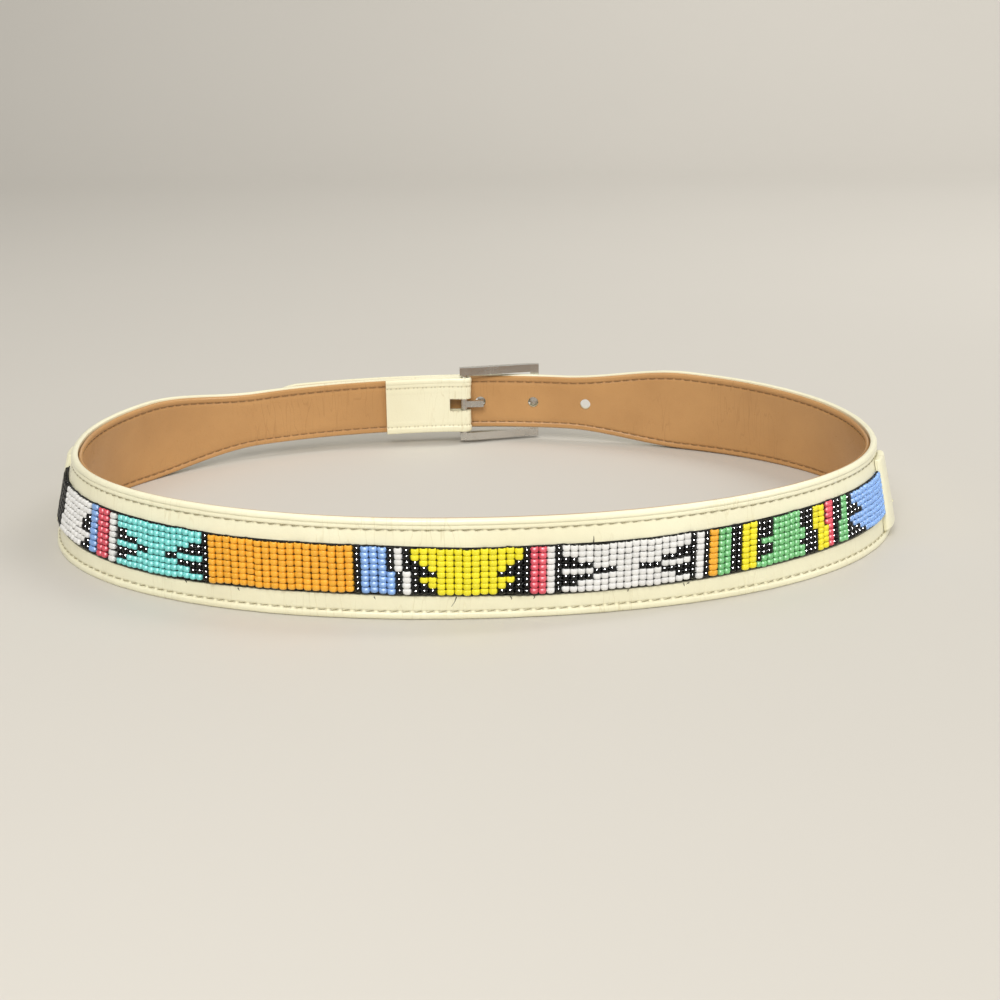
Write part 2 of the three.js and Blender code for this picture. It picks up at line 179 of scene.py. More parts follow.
# Runs of beads: colour, first and last edge along the strap, columns, rows, and for a run that has them the
# motifs at its left and right ends
RUNS = (
    ("black", BAND_START, -193.0, 10, (0, 1, 2, 3, 4)),
    ("black", BAND_START, -196.0, 9, (5, 6, 7)),
    ("white", -193.0, -166.1, 9, (0, 1, 2, 3, 4), PLAIN, SHORT_STEPS),
    ("white", -196.0, -166.1, 10, (5, 6, 7), PLAIN, SHORT_STEPS),
    ("blue", -165.3, -160.8, 1, ALL_ROWS),
    ("rose", -159.8, -153.6, 2, ALL_ROWS),
    ("white", -152.4, -148.8, 1, ALL_ROWS),
    ("turquoise", -147.5, -107.3, 15, ALL_ROWS, ARROW, ARROW),
    ("black", -107.3, -104.6, 1, ALL_ROWS),
    ("orange", -104.6, -50.2, 18, ALL_ROWS),
    ("black", -50.2, -47.6, 1, ALL_ROWS),
    ("blue", -47.6, -38.5, 3, UPPER_ROWS),
    ("black", -38.5, -35.8, 1, UPPER_ROWS),
    ("white", -35.8, -32.9, 1, UPPER_ROWS),
    ("black", -32.9, -30.1, 1, UPPER_ROWS),
    ("blue", -47.6, -35.5, 4, LOWER_ROWS),
    ("black", -35.5, -33.1, 1, LOWER_ROWS),
    ("white", -33.1, -30.1, 1, LOWER_ROWS),
    ("yellow", -30.1, 9.0, 13, ALL_ROWS, STEPS, STEPS),
    ("black", 9.0, 11.5, 1, ALL_ROWS),
    ("rose", 11.5, 17.2, 2, ALL_ROWS),
    ("white", 17.2, 20.2, 1, ALL_ROWS),
    ("black", 20.2, 22.7, 1, ALL_ROWS),
    ("white", 22.7, 70.2, 17, ALL_ROWS, LONG_ARROW, LONG_ARROW),
    ("black", 70.2, 72.4, 1, ALL_ROWS),
    ("white", 72.4, 75.6, 1, ALL_ROWS),
    ("black", 75.6, 77.7, 1, ALL_ROWS),
    ("orange", 77.7, 81.4, 1, ALL_ROWS),
    ("green", 81.4, 86.6, 2, ALL_ROWS),
    ("black", 86.6, 91.4, 2, ALL_ROWS),
    ("yellow", 91.4, 97.8, 2, ALL_ROWS),
    ("black", 97.8, 99.9, 1, (0, 1, 2, 3, 4, 5, 6)),
    ("green", 97.8, 99.9, 1, (7,)),
    ("black", 99.9, 105.2, 2, (0, 1, 2, 4, 5)),
    ("green", 99.9, 105.2, 2, (3, 6, 7)),
    ("green", 105.2, 118.0, 5, ALL_ROWS),
    ("black", 118.0, 120.9, 1, (0, 1, 2, 5)),
    ("green", 118.0, 120.9, 1, (3, 4, 6, 7)),
    ("black", 120.9, 125.0, 2, UPPER_ROWS),
    ("yellow", 125.0, 131.4, 2, UPPER_ROWS),
    ("rose", 132.5, 136.8, 1, UPPER_ROWS),
    ("black", 136.8, 142.2, 2, UPPER_ROWS),
    ("green", 142.2, 146.0, 1, UPPER_ROWS),
    ("black", 120.9, 128.0, 3, LOWER_ROWS),
    ("yellow", 128.0, 134.1, 2, LOWER_ROWS),
    ("rose", 134.1, 136.8, 1, LOWER_ROWS),
    ("black", 136.8, 140.5, 1, LOWER_ROWS),
    ("green", 140.5, 146.2, 2, LOWER_ROWS),
    ("black", 146.2, 149.6, 1, (0, 1)),
    ("blue", 149.6, BAND_END, 11, (0, 1)),
    ("black", 146.2, 154.0, 3, (2,)),
    ("blue", 154.0, BAND_END, 10, (2,)),
    ("black", 146.2, 157.5, 4, (3,)),
    ("blue", 157.5, BAND_END, 9, (3,)),
    ("black", 146.2, 147.8, 1, (4,)),
    ("blue", 147.8, BAND_END, 12, (4,)),
    ("black", 146.2, 150.2, 1, (5,)),
    ("blue", 150.2, BAND_END, 11, (5,)),
    ("black", 146.2, 155.2, 3, (6,)),
    ("blue", 155.2, BAND_END, 9, (6,)),
    ("black", 146.2, 159.6, 5, (7,)),
    ("blue", 159.6, BAND_END, 8, (7,)),
)

# How far the worn beadwork lies off its straight place: along, at its top edge, at its bottom edge
BAND_SAG = (
    (-236.0, 0.0, 0.0),
    (-205.0, -0.2, -0.6),
    (-140.0, -0.1, -1.2),
    (-115.0, -0.3, -1.1),
    (-95.0, -0.5, -0.55),
    (-60.0, -0.25, -0.15),
    (-35.0, -0.4, -0.35),
    (-5.0, -1.1, -0.7),
    (15.0, -0.9, -1.2),
    (40.0, -1.1, -1.0),
    (70.0, -0.8, -0.85),
    (95.0, -0.4, -0.4),
    (120.0, 0.0, -0.05),
    (150.0, 0.0, 0.1),
    (186.0, 0.0, 0.0),
)

# One seed bead, as shares of its radius and of half its length: the ring of points that is spun into it. Then
# the sides it is spun in, the power that squares its section, and how far below the panel's crest it stays
BEAD_PROFILE = ((0.42, -0.85), (0.76, -1.0), (0.96, -0.7), (1.0, 0.0), (0.96, 0.7), (0.76, 1.0), (0.42, 0.85))
BEAD_SIDES = 12
BEAD_ROUNDNESS = 0.82
BEAD_SUNK = 0.05

# Patterns in metres and turns: the needle's mark, half the width of the groove's shade, a thread's turns in a
# metre, and the waves of the backing's weave, in radians a metre
NEEDLE_MARK = 0.00038
GROOVE_SHADE = 0.0005
PLY_TURNS = 1100.0
CLOTH_WAVES = 11000.0

# Beads: how much darker the deepest tone is, and how much light the black and the coloured ones give back
DEEP_TONE = 0.7
BLACK_GLOSS = 0.3
COLOUR_GLOSS = 0.5

# Colours whose glass is clear enough to gather light at the middle of a bead
GLASSY = ("blue", "turquoise", "green", "rose")

# Loose black thread ends beside the beadwork: each runs through three places along, out and up
THREAD_ENDS = (
    ((-14.4, -0.1, 8.9), (-15.0, -0.5, 7.0), (-16.2, -0.55, 5.1)),
    ((33.8, 0.0, 27.4), (34.0, -0.4, 28.5), (33.9, -0.5, 29.8)),
    ((-115.0, 0.0, 8.8), (-114.9, -0.4, 8.1), (-114.4, -0.5, 7.6)),
    ((-93.5, 0.0, 8.8), (-93.4, -0.4, 8.1), (-93.1, -0.5, 7.6)),
    ((-43.3, 0.0, 8.9), (-43.2, -0.4, 8.3), (-42.8, -0.5, 7.7)),
    ((4.6, 0.0, 8.6), (5.0, -0.4, 7.9), (5.1, -0.5, 7.2)),
    ((12.9, 0.0, 8.5), (13.1, -0.4, 7.8), (12.7, -0.5, 7.0)),
    ((47.0, 0.0, 8.5), (47.1, -0.4, 8.0), (46.9, -0.5, 7.5)),
    ((68.2, 0.0, 8.4), (68.6, -0.4, 7.4), (68.9, -0.5, 6.2)),
    ((70.4, 0.0, 8.5), (69.6, -0.4, 8.0), (68.8, -0.4, 7.4)),
    ((-205.0, 0.4, 28.2), (-204.6, 0.9, 31.2), (-200.5, 0.2, 32.4)),
)

# Small knot on the right tab: it comes out of the crown, over, and back in
TAB_KNOT = ((196.1, 1.5, 11.0), (196.6, 2.15, 11.3), (197.2, 2.2, 11.7), (197.7, 1.3, 12.2))


def oval(angle):
    """The waist oval at an angle: the point where |x/a|^n + |y/b|^n = 1, its outward normal from the slope
    of that sum, and the wall's lean, which goes from the middle's to the sides' with the cosine squared."""
    c = np.cos(angle)
    s = np.sin(angle)
    x = RING_HALF_WIDTH * np.sign(c) * np.abs(c) ** (2 / RING_EXPONENT)
    y = RING_HALF_DEPTH * np.sign(s) * np.abs(s) ** (2 / RING_EXPONENT)
    gx = np.sign(c) * np.abs(x / RING_HALF_WIDTH) ** (RING_EXPONENT - 1) / RING_HALF_WIDTH
    gy = np.sign(s) * np.abs(y / RING_HALF_DEPTH) ** (RING_EXPONENT - 1) / RING_HALF_DEPTH
    size = np.hypot(gx, gy)
    return x, y, gx / size, gy / size, LEAN_AT_MIDDLE + (LEAN_AT_SIDES - LEAN_AT_MIDDLE) * c * c


def ring_lengths():
    """The oval's angles from the middle of the back, and the length at half the strap's width up to each:
    the running sum of the straight steps between them."""
    angle = -np.pi / 2 + TAU * np.arange(RING_SAMPLES + 1) / RING_SAMPLES
    x, y, nx, ny, lean = oval(angle)
    inward = MIDDLE * np.sin(lean)
    steps = np.hypot(np.diff(x - inward * nx), np.diff(y - inward * ny))
    return angle, np.concatenate([[0.0], np.cumsum(steps)])


RING_ANGLES, RING_LENGTHS = ring_lengths()
RING_LENGTH = RING_LENGTHS[-1]
BAR_ALONG = RING_LENGTH / 2
FOLD_RADIUS = BAR_RADIUS + GAP + FOLD_THICKNESS
BAR_OUT = -GAP + 0.1 - FOLD_RADIUS
TONGUE_OUT = WALL + GAP
TIP_ALONG = BAR_ALONG + TONGUE_LENGTH
PRONG_HOLE = BAR_ALONG - FOLD_RADIUS - BAR_RADIUS - HOLE_RADIUS - GAP


def lean_at(along):
    """How far the wall leans at a place along the strap."""
    return oval(np.interp(np.mod(along, RING_LENGTH), RING_LENGTHS, RING_ANGLES))[4]


def bend_about_ring(along, out, up):
    """Flat strap to the ring, in metres about the ring's own centre: the oval's point at that length, moved
    along its normal by out x cos(lean) - up x sin(lean), and raised by out x sin(lean) + up x cos(lean)."""
    along, out, up = np.broadcast_arrays(along, out, up)
    x, y, nx, ny, lean = oval(np.interp(np.mod(along, RING_LENGTH), RING_LENGTHS, RING_ANGLES))
    level = out * np.cos(lean) - up * np.sin(lean)
    height = out * np.sin(lean) + up * np.cos(lean)
    return np.stack([x + level * nx, y + level * ny, height], axis=-1) * MM


def ring_centre():
    """The ring's centre in the frame: the low corner of the right end tab's box, less where bending puts the
    low corner of the same rows of points about the ring's own centre."""
    share, height = np.array(TAB_PROFILE).T[:, :, None]
    along = BAND_END + GAP + share * TAB_LENGTH
    base = GAP - RIM_RISE
    crown = base + (TAB_PROUD - base) * height
    low = BOTTOM_RIM_WIDTH + GAP / 2
    high = BELT_WIDTH - TOP_RIM_WIDTH - GAP / 2
    foot = np.full_like(crown, base)
    outs = np.concatenate([foot, crown - TAB_ROUND, crown, crown, crown - TAB_ROUND, foot], axis=1)
    ups = np.array([low, low, low + TAB_ROUND, high - TAB_ROUND, high, high])
    points = bend_about_ring(along, outs, ups).reshape(-1, 3)
    return np.array(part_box("end_tab_right")[0]) - points.min(axis=0)


RING_CENTRE = ring_centre()


def bend(along, out, up):
    """Flat strap to the frame: bent about the ring's centre, then moved to where the ring stands."""
    return bend_about_ring(along, out, up) + RING_CENTRE


def ease(share):
    """3 x^2 - 2 x^3, with x held from 0 to 1."""
    x = np.clip(share, 0.0, 1.0)
    return x * x * (3 - 2 * x)


def climb(along):
    """How far the tongue has climbed over the buckle's side of the strap: an eased step up to the overlap."""
    return TONGUE_OUT * ease((along - (BAR_ALONG - CLIMB_LENGTH)) / (CLIMB_LENGTH - BAR_RADIUS))


def smooth_curve(points, count):
    """Points along a Catmull-Rom curve: between two of the given points, the cubic whose slope at each is
    half the way from the point before it to the point after it."""
    points = np.asarray(points, float)
    padded = np.vstack([2 * points[0] - points[1], points, 2 * points[-1] - points[-2]])
    place = np.linspace(0, len(points) - 1, count)
    first = np.minimum(place.astype(int), len(points) - 2)
    t = (place - first)[:, None]
    p0, p1, p2, p3 = (padded[first + i] for i in range(4))
    square = 2 * p0 - 5 * p1 + 4 * p2 - p3
    cube = 3 * p1 - p0 - 3 * p2 + p3
    return 0.5 * (2 * p1 + (p2 - p0) * t + square * t**2 + cube * t**3)


def strap_width(along):
    """The strap's width: full, eased down to the narrow ends, and times the tip's profile near the tip."""
    past = along + BAR_ALONG - BUCKLE_SIDE_END
    before = BAR_ALONG - TONGUE_SIDE_END - along
    width = END_WIDTH + (BELT_WIDTH - END_WIDTH) * ease(np.minimum(past, before) / TAPER_LENGTH)
    into_tip = np.clip((along - TIP_ALONG + TIP_LENGTH) / TIP_LENGTH, 0, 1)
    share, narrowed = smooth_curve(TIP_PROFILE, 40).T
    return width * np.interp(into_tip, share, narrowed)


def waves(along, lengths, seed):
    """A slow unevenness of about one unit: the sum of sine waves of the given lengths, each at a phase of
    its own, over the square root of their number."""
    phases = np.random.default_rng(seed).uniform(0, TAU, len(lengths))
    total = sum(np.sin(TAU * along / size + phase) for size, phase in zip(lengths, phases))
    return total / np.sqrt(len(lengths))


def weave_drift(along):
    """How far the rows of beads wander up or down the strap."""
    return 0.22 * waves(along, (61.0, 23.0, 9.3), 3)


def sag(along, share):
    """How far the beadwork lies off its straight place, at a share of the way from its top edge to its bottom
    edge: the charted sags joined by a smooth curve, and between the edges in proportion."""
    places, top, low = smooth_curve(BAND_SAG, 160).T
    return np.interp(along, places, top) * (1 - share) + np.interp(along, places, low) * share


def lofted(count, rows, columns, closed=False):
    """Faces of count like solids, each a grid of rows by columns whose columns close on themselves. Rows
    close too if closed is set, and are capped with one face at each end otherwise. Gives the faces, and
    for each corner of the four-sided ones its row and its column."""
    i, k = np.meshgrid(np.arange(rows if closed else rows - 1), np.arange(columns), indexing="ij")
    row = np.stack([i, i, i + 1, i + 1], axis=-1).reshape(-1, 4)
    column = np.stack([k, k + 1, k + 1, k], axis=-1).reshape(-1, 4)
    start = np.arange(count)[:, None, None] * rows * columns
    quads = (row % rows) * columns + column % columns + start
    faces = [quads.reshape(-1, 4)]
    if not closed:
        around = np.arange(columns)
        caps = np.stack([around[::-1], (rows - 1) * columns + around])
        faces.append((caps + start).reshape(-1, columns))
    return faces, np.tile(row, (count, 1)), np.tile(column, (count, 1))


def signed_volume(points, faces):
    """Six times the volume that the faces close in: each face fanned from its first corner into triangles,
    and for each the triple product of its corners."""
    total = 0.0
    for polygons in faces:
        a = points[polygons[:, 0]]
        for k in range(1, polygons.shape[1] - 1):
            total += np.einsum("ij,ij->", a, np.cross(points[polygons[:, k]], points[polygons[:, k + 1]]))
    return total


def make_mesh(name, points, faces, corner_uv=None, values=None, crease_angle=40.0):
    """A mesh from arrays of points in metres and faces by number of corners, turned to face outwards,
    smooth but for edges sharper than the crease angle, with its UV map and its named values."""
    points = points.reshape(-1, 3)
    inside_out = signed_volume(points - points.mean(axis=0), faces) < 0
    if inside_out:
        faces = [polygons[:, ::-1] for polygons in faces]
    mesh = bpy.data.meshes.new(name)
    mesh.vertices.add(len(points))
    mesh.vertices.foreach_set("co", points.astype(np.float32).ravel())
    corners = np.concatenate([polygons.ravel() for polygons in faces])
    sizes = np.concatenate([np.full(len(polygons), polygons.shape[1]) for polygons in faces])
    mesh.loops.add(len(corners))
    mesh.loops.foreach_set("vertex_index", corners.astype(np.int32))
    mesh.polygons.add(len(sizes))
    mesh.polygons.foreach_set("loop_start", (np.cumsum(sizes) - sizes).astype(np.int32))
    if corner_uv is not None:
        uv = np.zeros((len(corners), 2))
        if inside_out:
            corner_uv = corner_uv[:, ::-1]
        uv[: corner_uv.shape[0] * corner_uv.shape[1]] = corner_uv.reshape(-1, 2)
        mesh.uv_layers.new(name="strap_map").uv.foreach_set("vector", uv.astype(np.float32).ravel())
    for title, array in (values or {}).items():
        attribute = mesh.attributes.new(title, "FLOAT", "POINT")
        attribute.data.foreach_set("value", array.astype(np.float32).ravel())
    mesh.update(calc_edges=True)
    mesh.validate()
    mesh.shade_smooth()
    mesh.set_sharp_from_angle(angle=np.radians(crease_angle))
    return mesh


def wall_mesh(name, along, out, up, away=None, length=None):
    """One closed wall bent round the ring, from its section at each station. Its UV map holds the length
    along the leather and the height up it, and each point can hold its distance from the stitch line."""
    faces, row, column = lofted(1, *up.shape)
    length = along[:, 0] if length is None else length
    corner_uv = np.stack([length[row], up[row, column % up.shape[1]]], axis=-1) * MM
    values = None if away is None else {"stitch_away": away * MM}
    return make_mesh(name, bend(along, out, up), faces, corner_uv, values)


def place_piece(mesh, material, slot, *nodes):
    """An object for the mesh at the origin, with its material, its ride and what it stands for. The slot is
    not used.
    """
    mesh.materials.append(material)
    piece = bpy.data.objects.new(mesh.name, mesh)
    bpy.context.scene.collection.objects.link(piece)
    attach(piece, "root")
    if nodes:
        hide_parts(*nodes)
    return piece


def tubes(centres, radii, sides):
    """Round tubes on the flat strap: at each point of a centre line, a circle square to the line. Its first
    direction is the line's crossed with the strap's outward one, and its second completes the right angle."""
    ahead = np.gradient(centres, axis=1)
    ahead /= np.linalg.norm(ahead, axis=2, keepdims=True)
    side = np.cross(ahead, (0.0, 1.0, 0.0))
    side /= np.linalg.norm(side, axis=2, keepdims=True)
    over = np.cross(side, ahead)
    turn = TAU * np.arange(sides)[:, None] / sides
    circle = side[:, :, None] * np.cos(turn) + over[:, :, None] * np.sin(turn)
    return centres[:, :, None] + radii[:, :, None, None] * circle


def tube_mesh(name, centres, radii, sides):
    """Tubes bent round the ring as one mesh, with the length and the turn round each in its UV map."""
    count, rows = radii.shape
    points = np.moveaxis(tubes(centres, radii, sides), -1, 0)
    faces, row, column = lofted(count, rows, sides)
    steps = np.linalg.norm(np.diff(centres, axis=1), axis=2)
    lengths = np.concatenate([np.zeros((count, 1)), np.cumsum(steps, axis=1)], axis=1) * MM
    solid = np.arange(count).repeat((rows - 1) * sides)[:, None]
    corner_uv = np.stack([lengths[solid, row], column / sides], axis=-1)
    return make_mesh(name, bend(*points), faces, corner_uv, crease_angle=80.0)


def above_floor(along, deep, up):
    """Heights no lower than the surface the belt stands on, which is at deep x tan(lean) up the wall."""
    return np.maximum(up, deep * np.tan(lean_at(along)))


def strap_path():
    """The strap's stations, one row each: along, out, the direction its outer side faces (along and out),
    thickness, rim rise, recess depth, and the length along the leather. They run up the flap inside, half
    round the bar on a circle, back along the ring, and out over the overlap to the tip."""
    start = -BAR_ALONG
    flap = np.linspace(start + FLAP_LENGTH, start + FLAP_BEND, 12)
    flap_out = -(WALL + 1.2 * GAP) - FOLD_THICKNESS
    thin = [FOLD_THICKNESS, RIM_RISE / 2, 0.0]
    rows = [[along, flap_out, 0.0, -1.0, *thin] for along in flap]
    for turn in np.linspace(-np.pi / 2, -1.5 * np.pi, 15):
        c, s = np.cos(turn), np.sin(turn)
        rows.append([start + FOLD_RADIUS * c, BAR_OUT + FOLD_RADIUS * s, c, s, *thin])
    rows.append([start + FLAP_BEND, 0.0, 0.0, 1.0, *thin])
    recess_start, recess_end = BAND_START - GAP, BAND_END + GAP
    tip = TIP_ALONG - TIP_LENGTH
    for low, high, recess in (
        (start + 1.5 * FLAP_BEND, recess_start - RECESS_LIP, 0.0),
        (recess_start, recess_end, RECESS_DEPTH),
        (recess_end + RECESS_LIP, tip, 0.0),
    ):
        for along in np.linspace(low, high, max(2, round((high - low) / STATION))):
            rows.append([along, climb(along), 0.0, 1.0, STRAP_THICKNESS, RIM_RISE, recess])
    for share in 1 - np.cos(np.linspace(0.15, 1, 12) * np.pi / 2):
        along = tip + (1 - (1 - share) ** 2) * TIP_LENGTH
        rows.append([along, TONGUE_OUT, 0.0, 1.0, STRAP_THICKNESS, RIM_RISE, 0.0])
    path = np.array(rows)
    steps = np.hypot(np.diff(path[:, 0]), np.diff(path[:, 1]))
    length = np.concatenate([[0.0], np.cumsum(steps)])
    length += start + 1.5 * FLAP_BEND - length[len(flap) + 16]
    return np.column_stack([path, length])


def rim_fit(width):
    """The share of their full width that both rims keep where the strap is too narrow for them."""
    return np.minimum(1.0, width / (TOP_RIM_WIDTH + BOTTOM_RIM_WIDTH + LEAST_FACE))


def strap_section(path, puff, unevenness):
    """The strap's section at each station, as depth in from the rims' crest and height up the width: the
    rolled rims from their smoothed profile, the faces puffed by a half sine between rim and beadwork, the
    recess, and a flat inner side with rounded corners. Slow waves along the strap move the outer side."""
    along, thick, rise, recess = path[:, [0, 4, 5, 6]].T[:, :, None]
    width = strap_width(along)
    low, high = MIDDLE - width / 2, MIDDLE + width / 2
    fit = rim_fit(width)
    face_low, face_high = low + BOTTOM_RIM_WIDTH * fit, high - TOP_RIM_WIDTH * fit
    kept = FACE_KEPT * (face_high - face_low)
    band_low = np.maximum(MIDDLE - BAND_WIDTH / 2 - GAP + LIP_INWARD + sag(along, 1), face_low + kept)
    band_high = np.minimum(MIDDLE + BAND_WIDTH / 2 + GAP - LIP_INWARD + sag(along, 0), face_high - kept)
    side = np.minimum(LIP_SLOPE, kept / 2)
    inward, below = smooth_curve(LOWER_RIM, RIM_POINTS).T
    top_inward, top_below = smooth_curve(UPPER_RIM, RIM_POINTS).T[:, ::-1]
    share = np.linspace(0, 1, FACE_POINTS + 2)[1:-1]
    lip = LIP_RISE * (recess > 0)
    swell = puff * np.sin(np.pi * share) + lip * share**2
    floor = np.linspace(0, 1, 4)
    corner = np.array(INNER_CORNER)
    unit = np.ones_like(along)
    parts = (
        (thick - corner[::-1], low + corner),
        (rise * below, low + inward * BOTTOM_RIM_WIDTH * fit),
        (rise - swell * rise / RIM_RISE, face_low + (band_low - side - face_low) * share),
        (rise * unit - lip, band_low - side),
        ((rise + recess) * np.ones(4), band_low + (band_high - band_low) * floor),
        (rise * unit - lip, band_high + side),
        (rise - swell[:, ::-1] * rise / RIM_RISE, band_high + side + (face_high - band_high - side) * share),
        (rise * top_below, high - top_inward * TOP_RIM_WIDTH * fit),
        (thick - corner, high - corner[::-1]),
        (thick * np.ones(5), high + (low - high) * np.linspace(0.1, 0.9, 5)),
    )
    deep = np.concatenate([np.broadcast_to(part[0], (len(path), part[0].shape[1])) for part in parts], axis=1)
    up = np.concatenate([np.broadcast_to(part[1], (len(path), part[1].shape[1])) for part in parts], axis=1)
    outer = deep < thick / 2
    deep = deep + outer * unevenness * waves(along + 0.6 * up, STRAP_WAVES, 5)
    from_top = high - up - STITCH_SHARE * TOP_RIM_WIDTH * fit
    from_bottom = up - low - STITCH_SHARE * BOTTOM_RIM_WIDTH * fit
    return deep, up, np.where(up > MIDDLE, from_top, from_bottom)


def carve(piece, cutters):
    """Cuts closed cutters, given as lofts of points in metres, out of a piece, and drops the cutters."""
    joined = np.concatenate([points.reshape(-1, 3) for points in cutters])
    faces = []
    first = 0
    for points in cutters:
        rows, columns = points.shape[:2]
        own = lofted(1, rows, columns)[0]
        flip = signed_volume(points.reshape(-1, 3) - points.reshape(-1, 3).mean(axis=0), own) < 0
        faces += [(polygons[:, ::-1] if flip else polygons) + first for polygons in own]
        first += rows * columns
    mesh = bpy.data.meshes.new("cutters")
    mesh.from_pydata(joined.tolist(), [], [polygon.tolist() for polygons in faces for polygon in polygons])
    mesh.update()
    cutter = bpy.data.objects.new("cutters", mesh)
    bpy.context.scene.collection.objects.link(cutter)
    cut = piece.modifiers.new("cut", "BOOLEAN")
    cut.operation = "DIFFERENCE"
    cut.solver = "EXACT"
    cut.object = cutter
    depsgraph = bpy.context.evaluated_depsgraph_get()
    carved = bpy.data.meshes.new_from_object(piece.evaluated_get(depsgraph))
    piece.modifiers.remove(cut)
    carved.name = piece.name
    old = piece.data
    piece.data = carved
    bpy.data.meshes.remove(old)
    bpy.data.objects.remove(cutter)
    carved.set_sharp_from_angle(angle=np.radians(40.0))


def hole_cutters():
    """Round punches through the tongue: circles in the strap's surface, carried through the wall."""
    turn = TAU * np.arange(28) / 28
    cutters = []
    for i in range(-HOLES_EACH_WAY, HOLES_EACH_WAY + 1):
        along = PRONG_HOLE + i * HOLE_PITCH
        outs = np.array([climb(along) - WALL - 1, climb(along) + 1])[:, None]
        cutters.append(bend(along + HOLE_RADIUS * np.cos(turn), outs, MIDDLE + HOLE_RADIUS * np.sin(turn)))
    return cutters


def slot_cutter():
    """The slot for the prong: a rectangle in the surface of the fold, carried through both its layers."""
    start = -BAR_ALONG
    corners = np.array([(-SLOT_BACK, -12), (SLOT_FORWARD, -12), (SLOT_FORWARD, 1), (-SLOT_BACK, 1)], float)
    ups = MIDDLE + np.array([[-SLOT_HALF], [SLOT_HALF]])
    return bend(start + corners[:, 0], corners[:, 1], ups)


def feed(tree, target, inputs):
    """For each named or numbered input of a node, links a socket to it or sets its value."""
    for name, value in inputs.items():
        if isinstance(value, bpy.types.NodeSocket):
            tree.links.new(value, target.inputs[name])
        else:
            target.inputs[name].default_value = value
    return target


def node(tree, kind, inputs=None, **settings):
    """Adds a node, sets its properties and feeds its inputs."""
    made = tree.nodes.new(kind)
    for name, value in settings.items():
        setattr(made, name, value)
    return feed(tree, made, inputs or {})


def maths(tree, operation, *values, clamp=False):
    """One Math node, and its result."""
    inputs = dict(enumerate(values))
    return node(tree, "ShaderNodeMath", inputs, operation=operation, use_clamp=clamp).outputs[0]


def noise(tree, vector, scale, detail=2.0, roughness=0.5):
    """One noise texture, and its value."""
    inputs = {"Vector": vector, "Scale": scale, "Detail": detail, "Roughness": roughness}
    return node(tree, "ShaderNodeTexNoise", inputs).outputs["Fac"]


def between(tree, value, low, high, to_low=0.0, to_high=1.0):
    """One Map Range node that takes low and high to to_low and to_high, and holds the result there."""
    inputs = {"Value": value, "From Min": low, "From Max": high, "To Min": to_low, "To Max": to_high}
    return node(tree, "ShaderNodeMapRange", inputs, clamp=True).outputs["Result"]


def blend(tree, share, first, second):
    """One Mix node, with its factor and its two colours, and the colour that it gives."""
    inputs = {0: share, 6: first, 7: second}
    return node(tree, "ShaderNodeMix", inputs, data_type="RGBA", clamp_factor=True).outputs[2]


def bump(tree, height, strength, distance):
    """One Bump node, and its normal."""
    inputs = {"Height": height, "Strength": strength, "Distance": distance}
    return node(tree, "ShaderNodeBump", inputs).outputs["Normal"]


def object_place(tree):
    """The place of a point on its object, in metres."""
    return node(tree, "ShaderNodeTexCoord").outputs["Object"]


def mapped_place(tree):
    """The place of a point in the UV map of a strap, a cloth or a thread."""
    return node(tree, "ShaderNodeUVMap", uv_map="strap_map").outputs["UV"]


def stretched(tree, vector, factors):
    """A vector with each of its parts times a factor."""
    return node(tree, "ShaderNodeVectorMath", {0: vector, 1: factors}, operation="MULTIPLY").outputs[0]


def start_group(name, inputs, outputs):
    """An empty node group with named sockets, its input node, and its output node."""
    tree = bpy.data.node_groups.new(name, "ShaderNodeTree")
    kinds = {"colour": "NodeSocketColor", "value": "NodeSocketFloat", "vector": "NodeSocketVector"}
    for title, kind in inputs:
        tree.interface.new_socket(title, in_out="INPUT", socket_type=kinds[kind])
    for title, kind in outputs:
        tree.interface.new_socket(title, in_out="OUTPUT", socket_type=kinds[kind])
    return tree, tree.nodes.new("NodeGroupInput"), tree.nodes.new("NodeGroupOutput")


def use_group(tree, group, inputs):
    """Places a node group in a material with its own values."""
    return node(tree, "ShaderNodeGroup", inputs, node_tree=bpy.data.node_groups[group])


def start_material(name):
    """A material with its Principled BSDF, and that shader."""
    material = bpy.data.materials.new(name)
    material.use_nodes = True
    return material, material.node_tree, material.node_tree.nodes["Principled BSDF"]


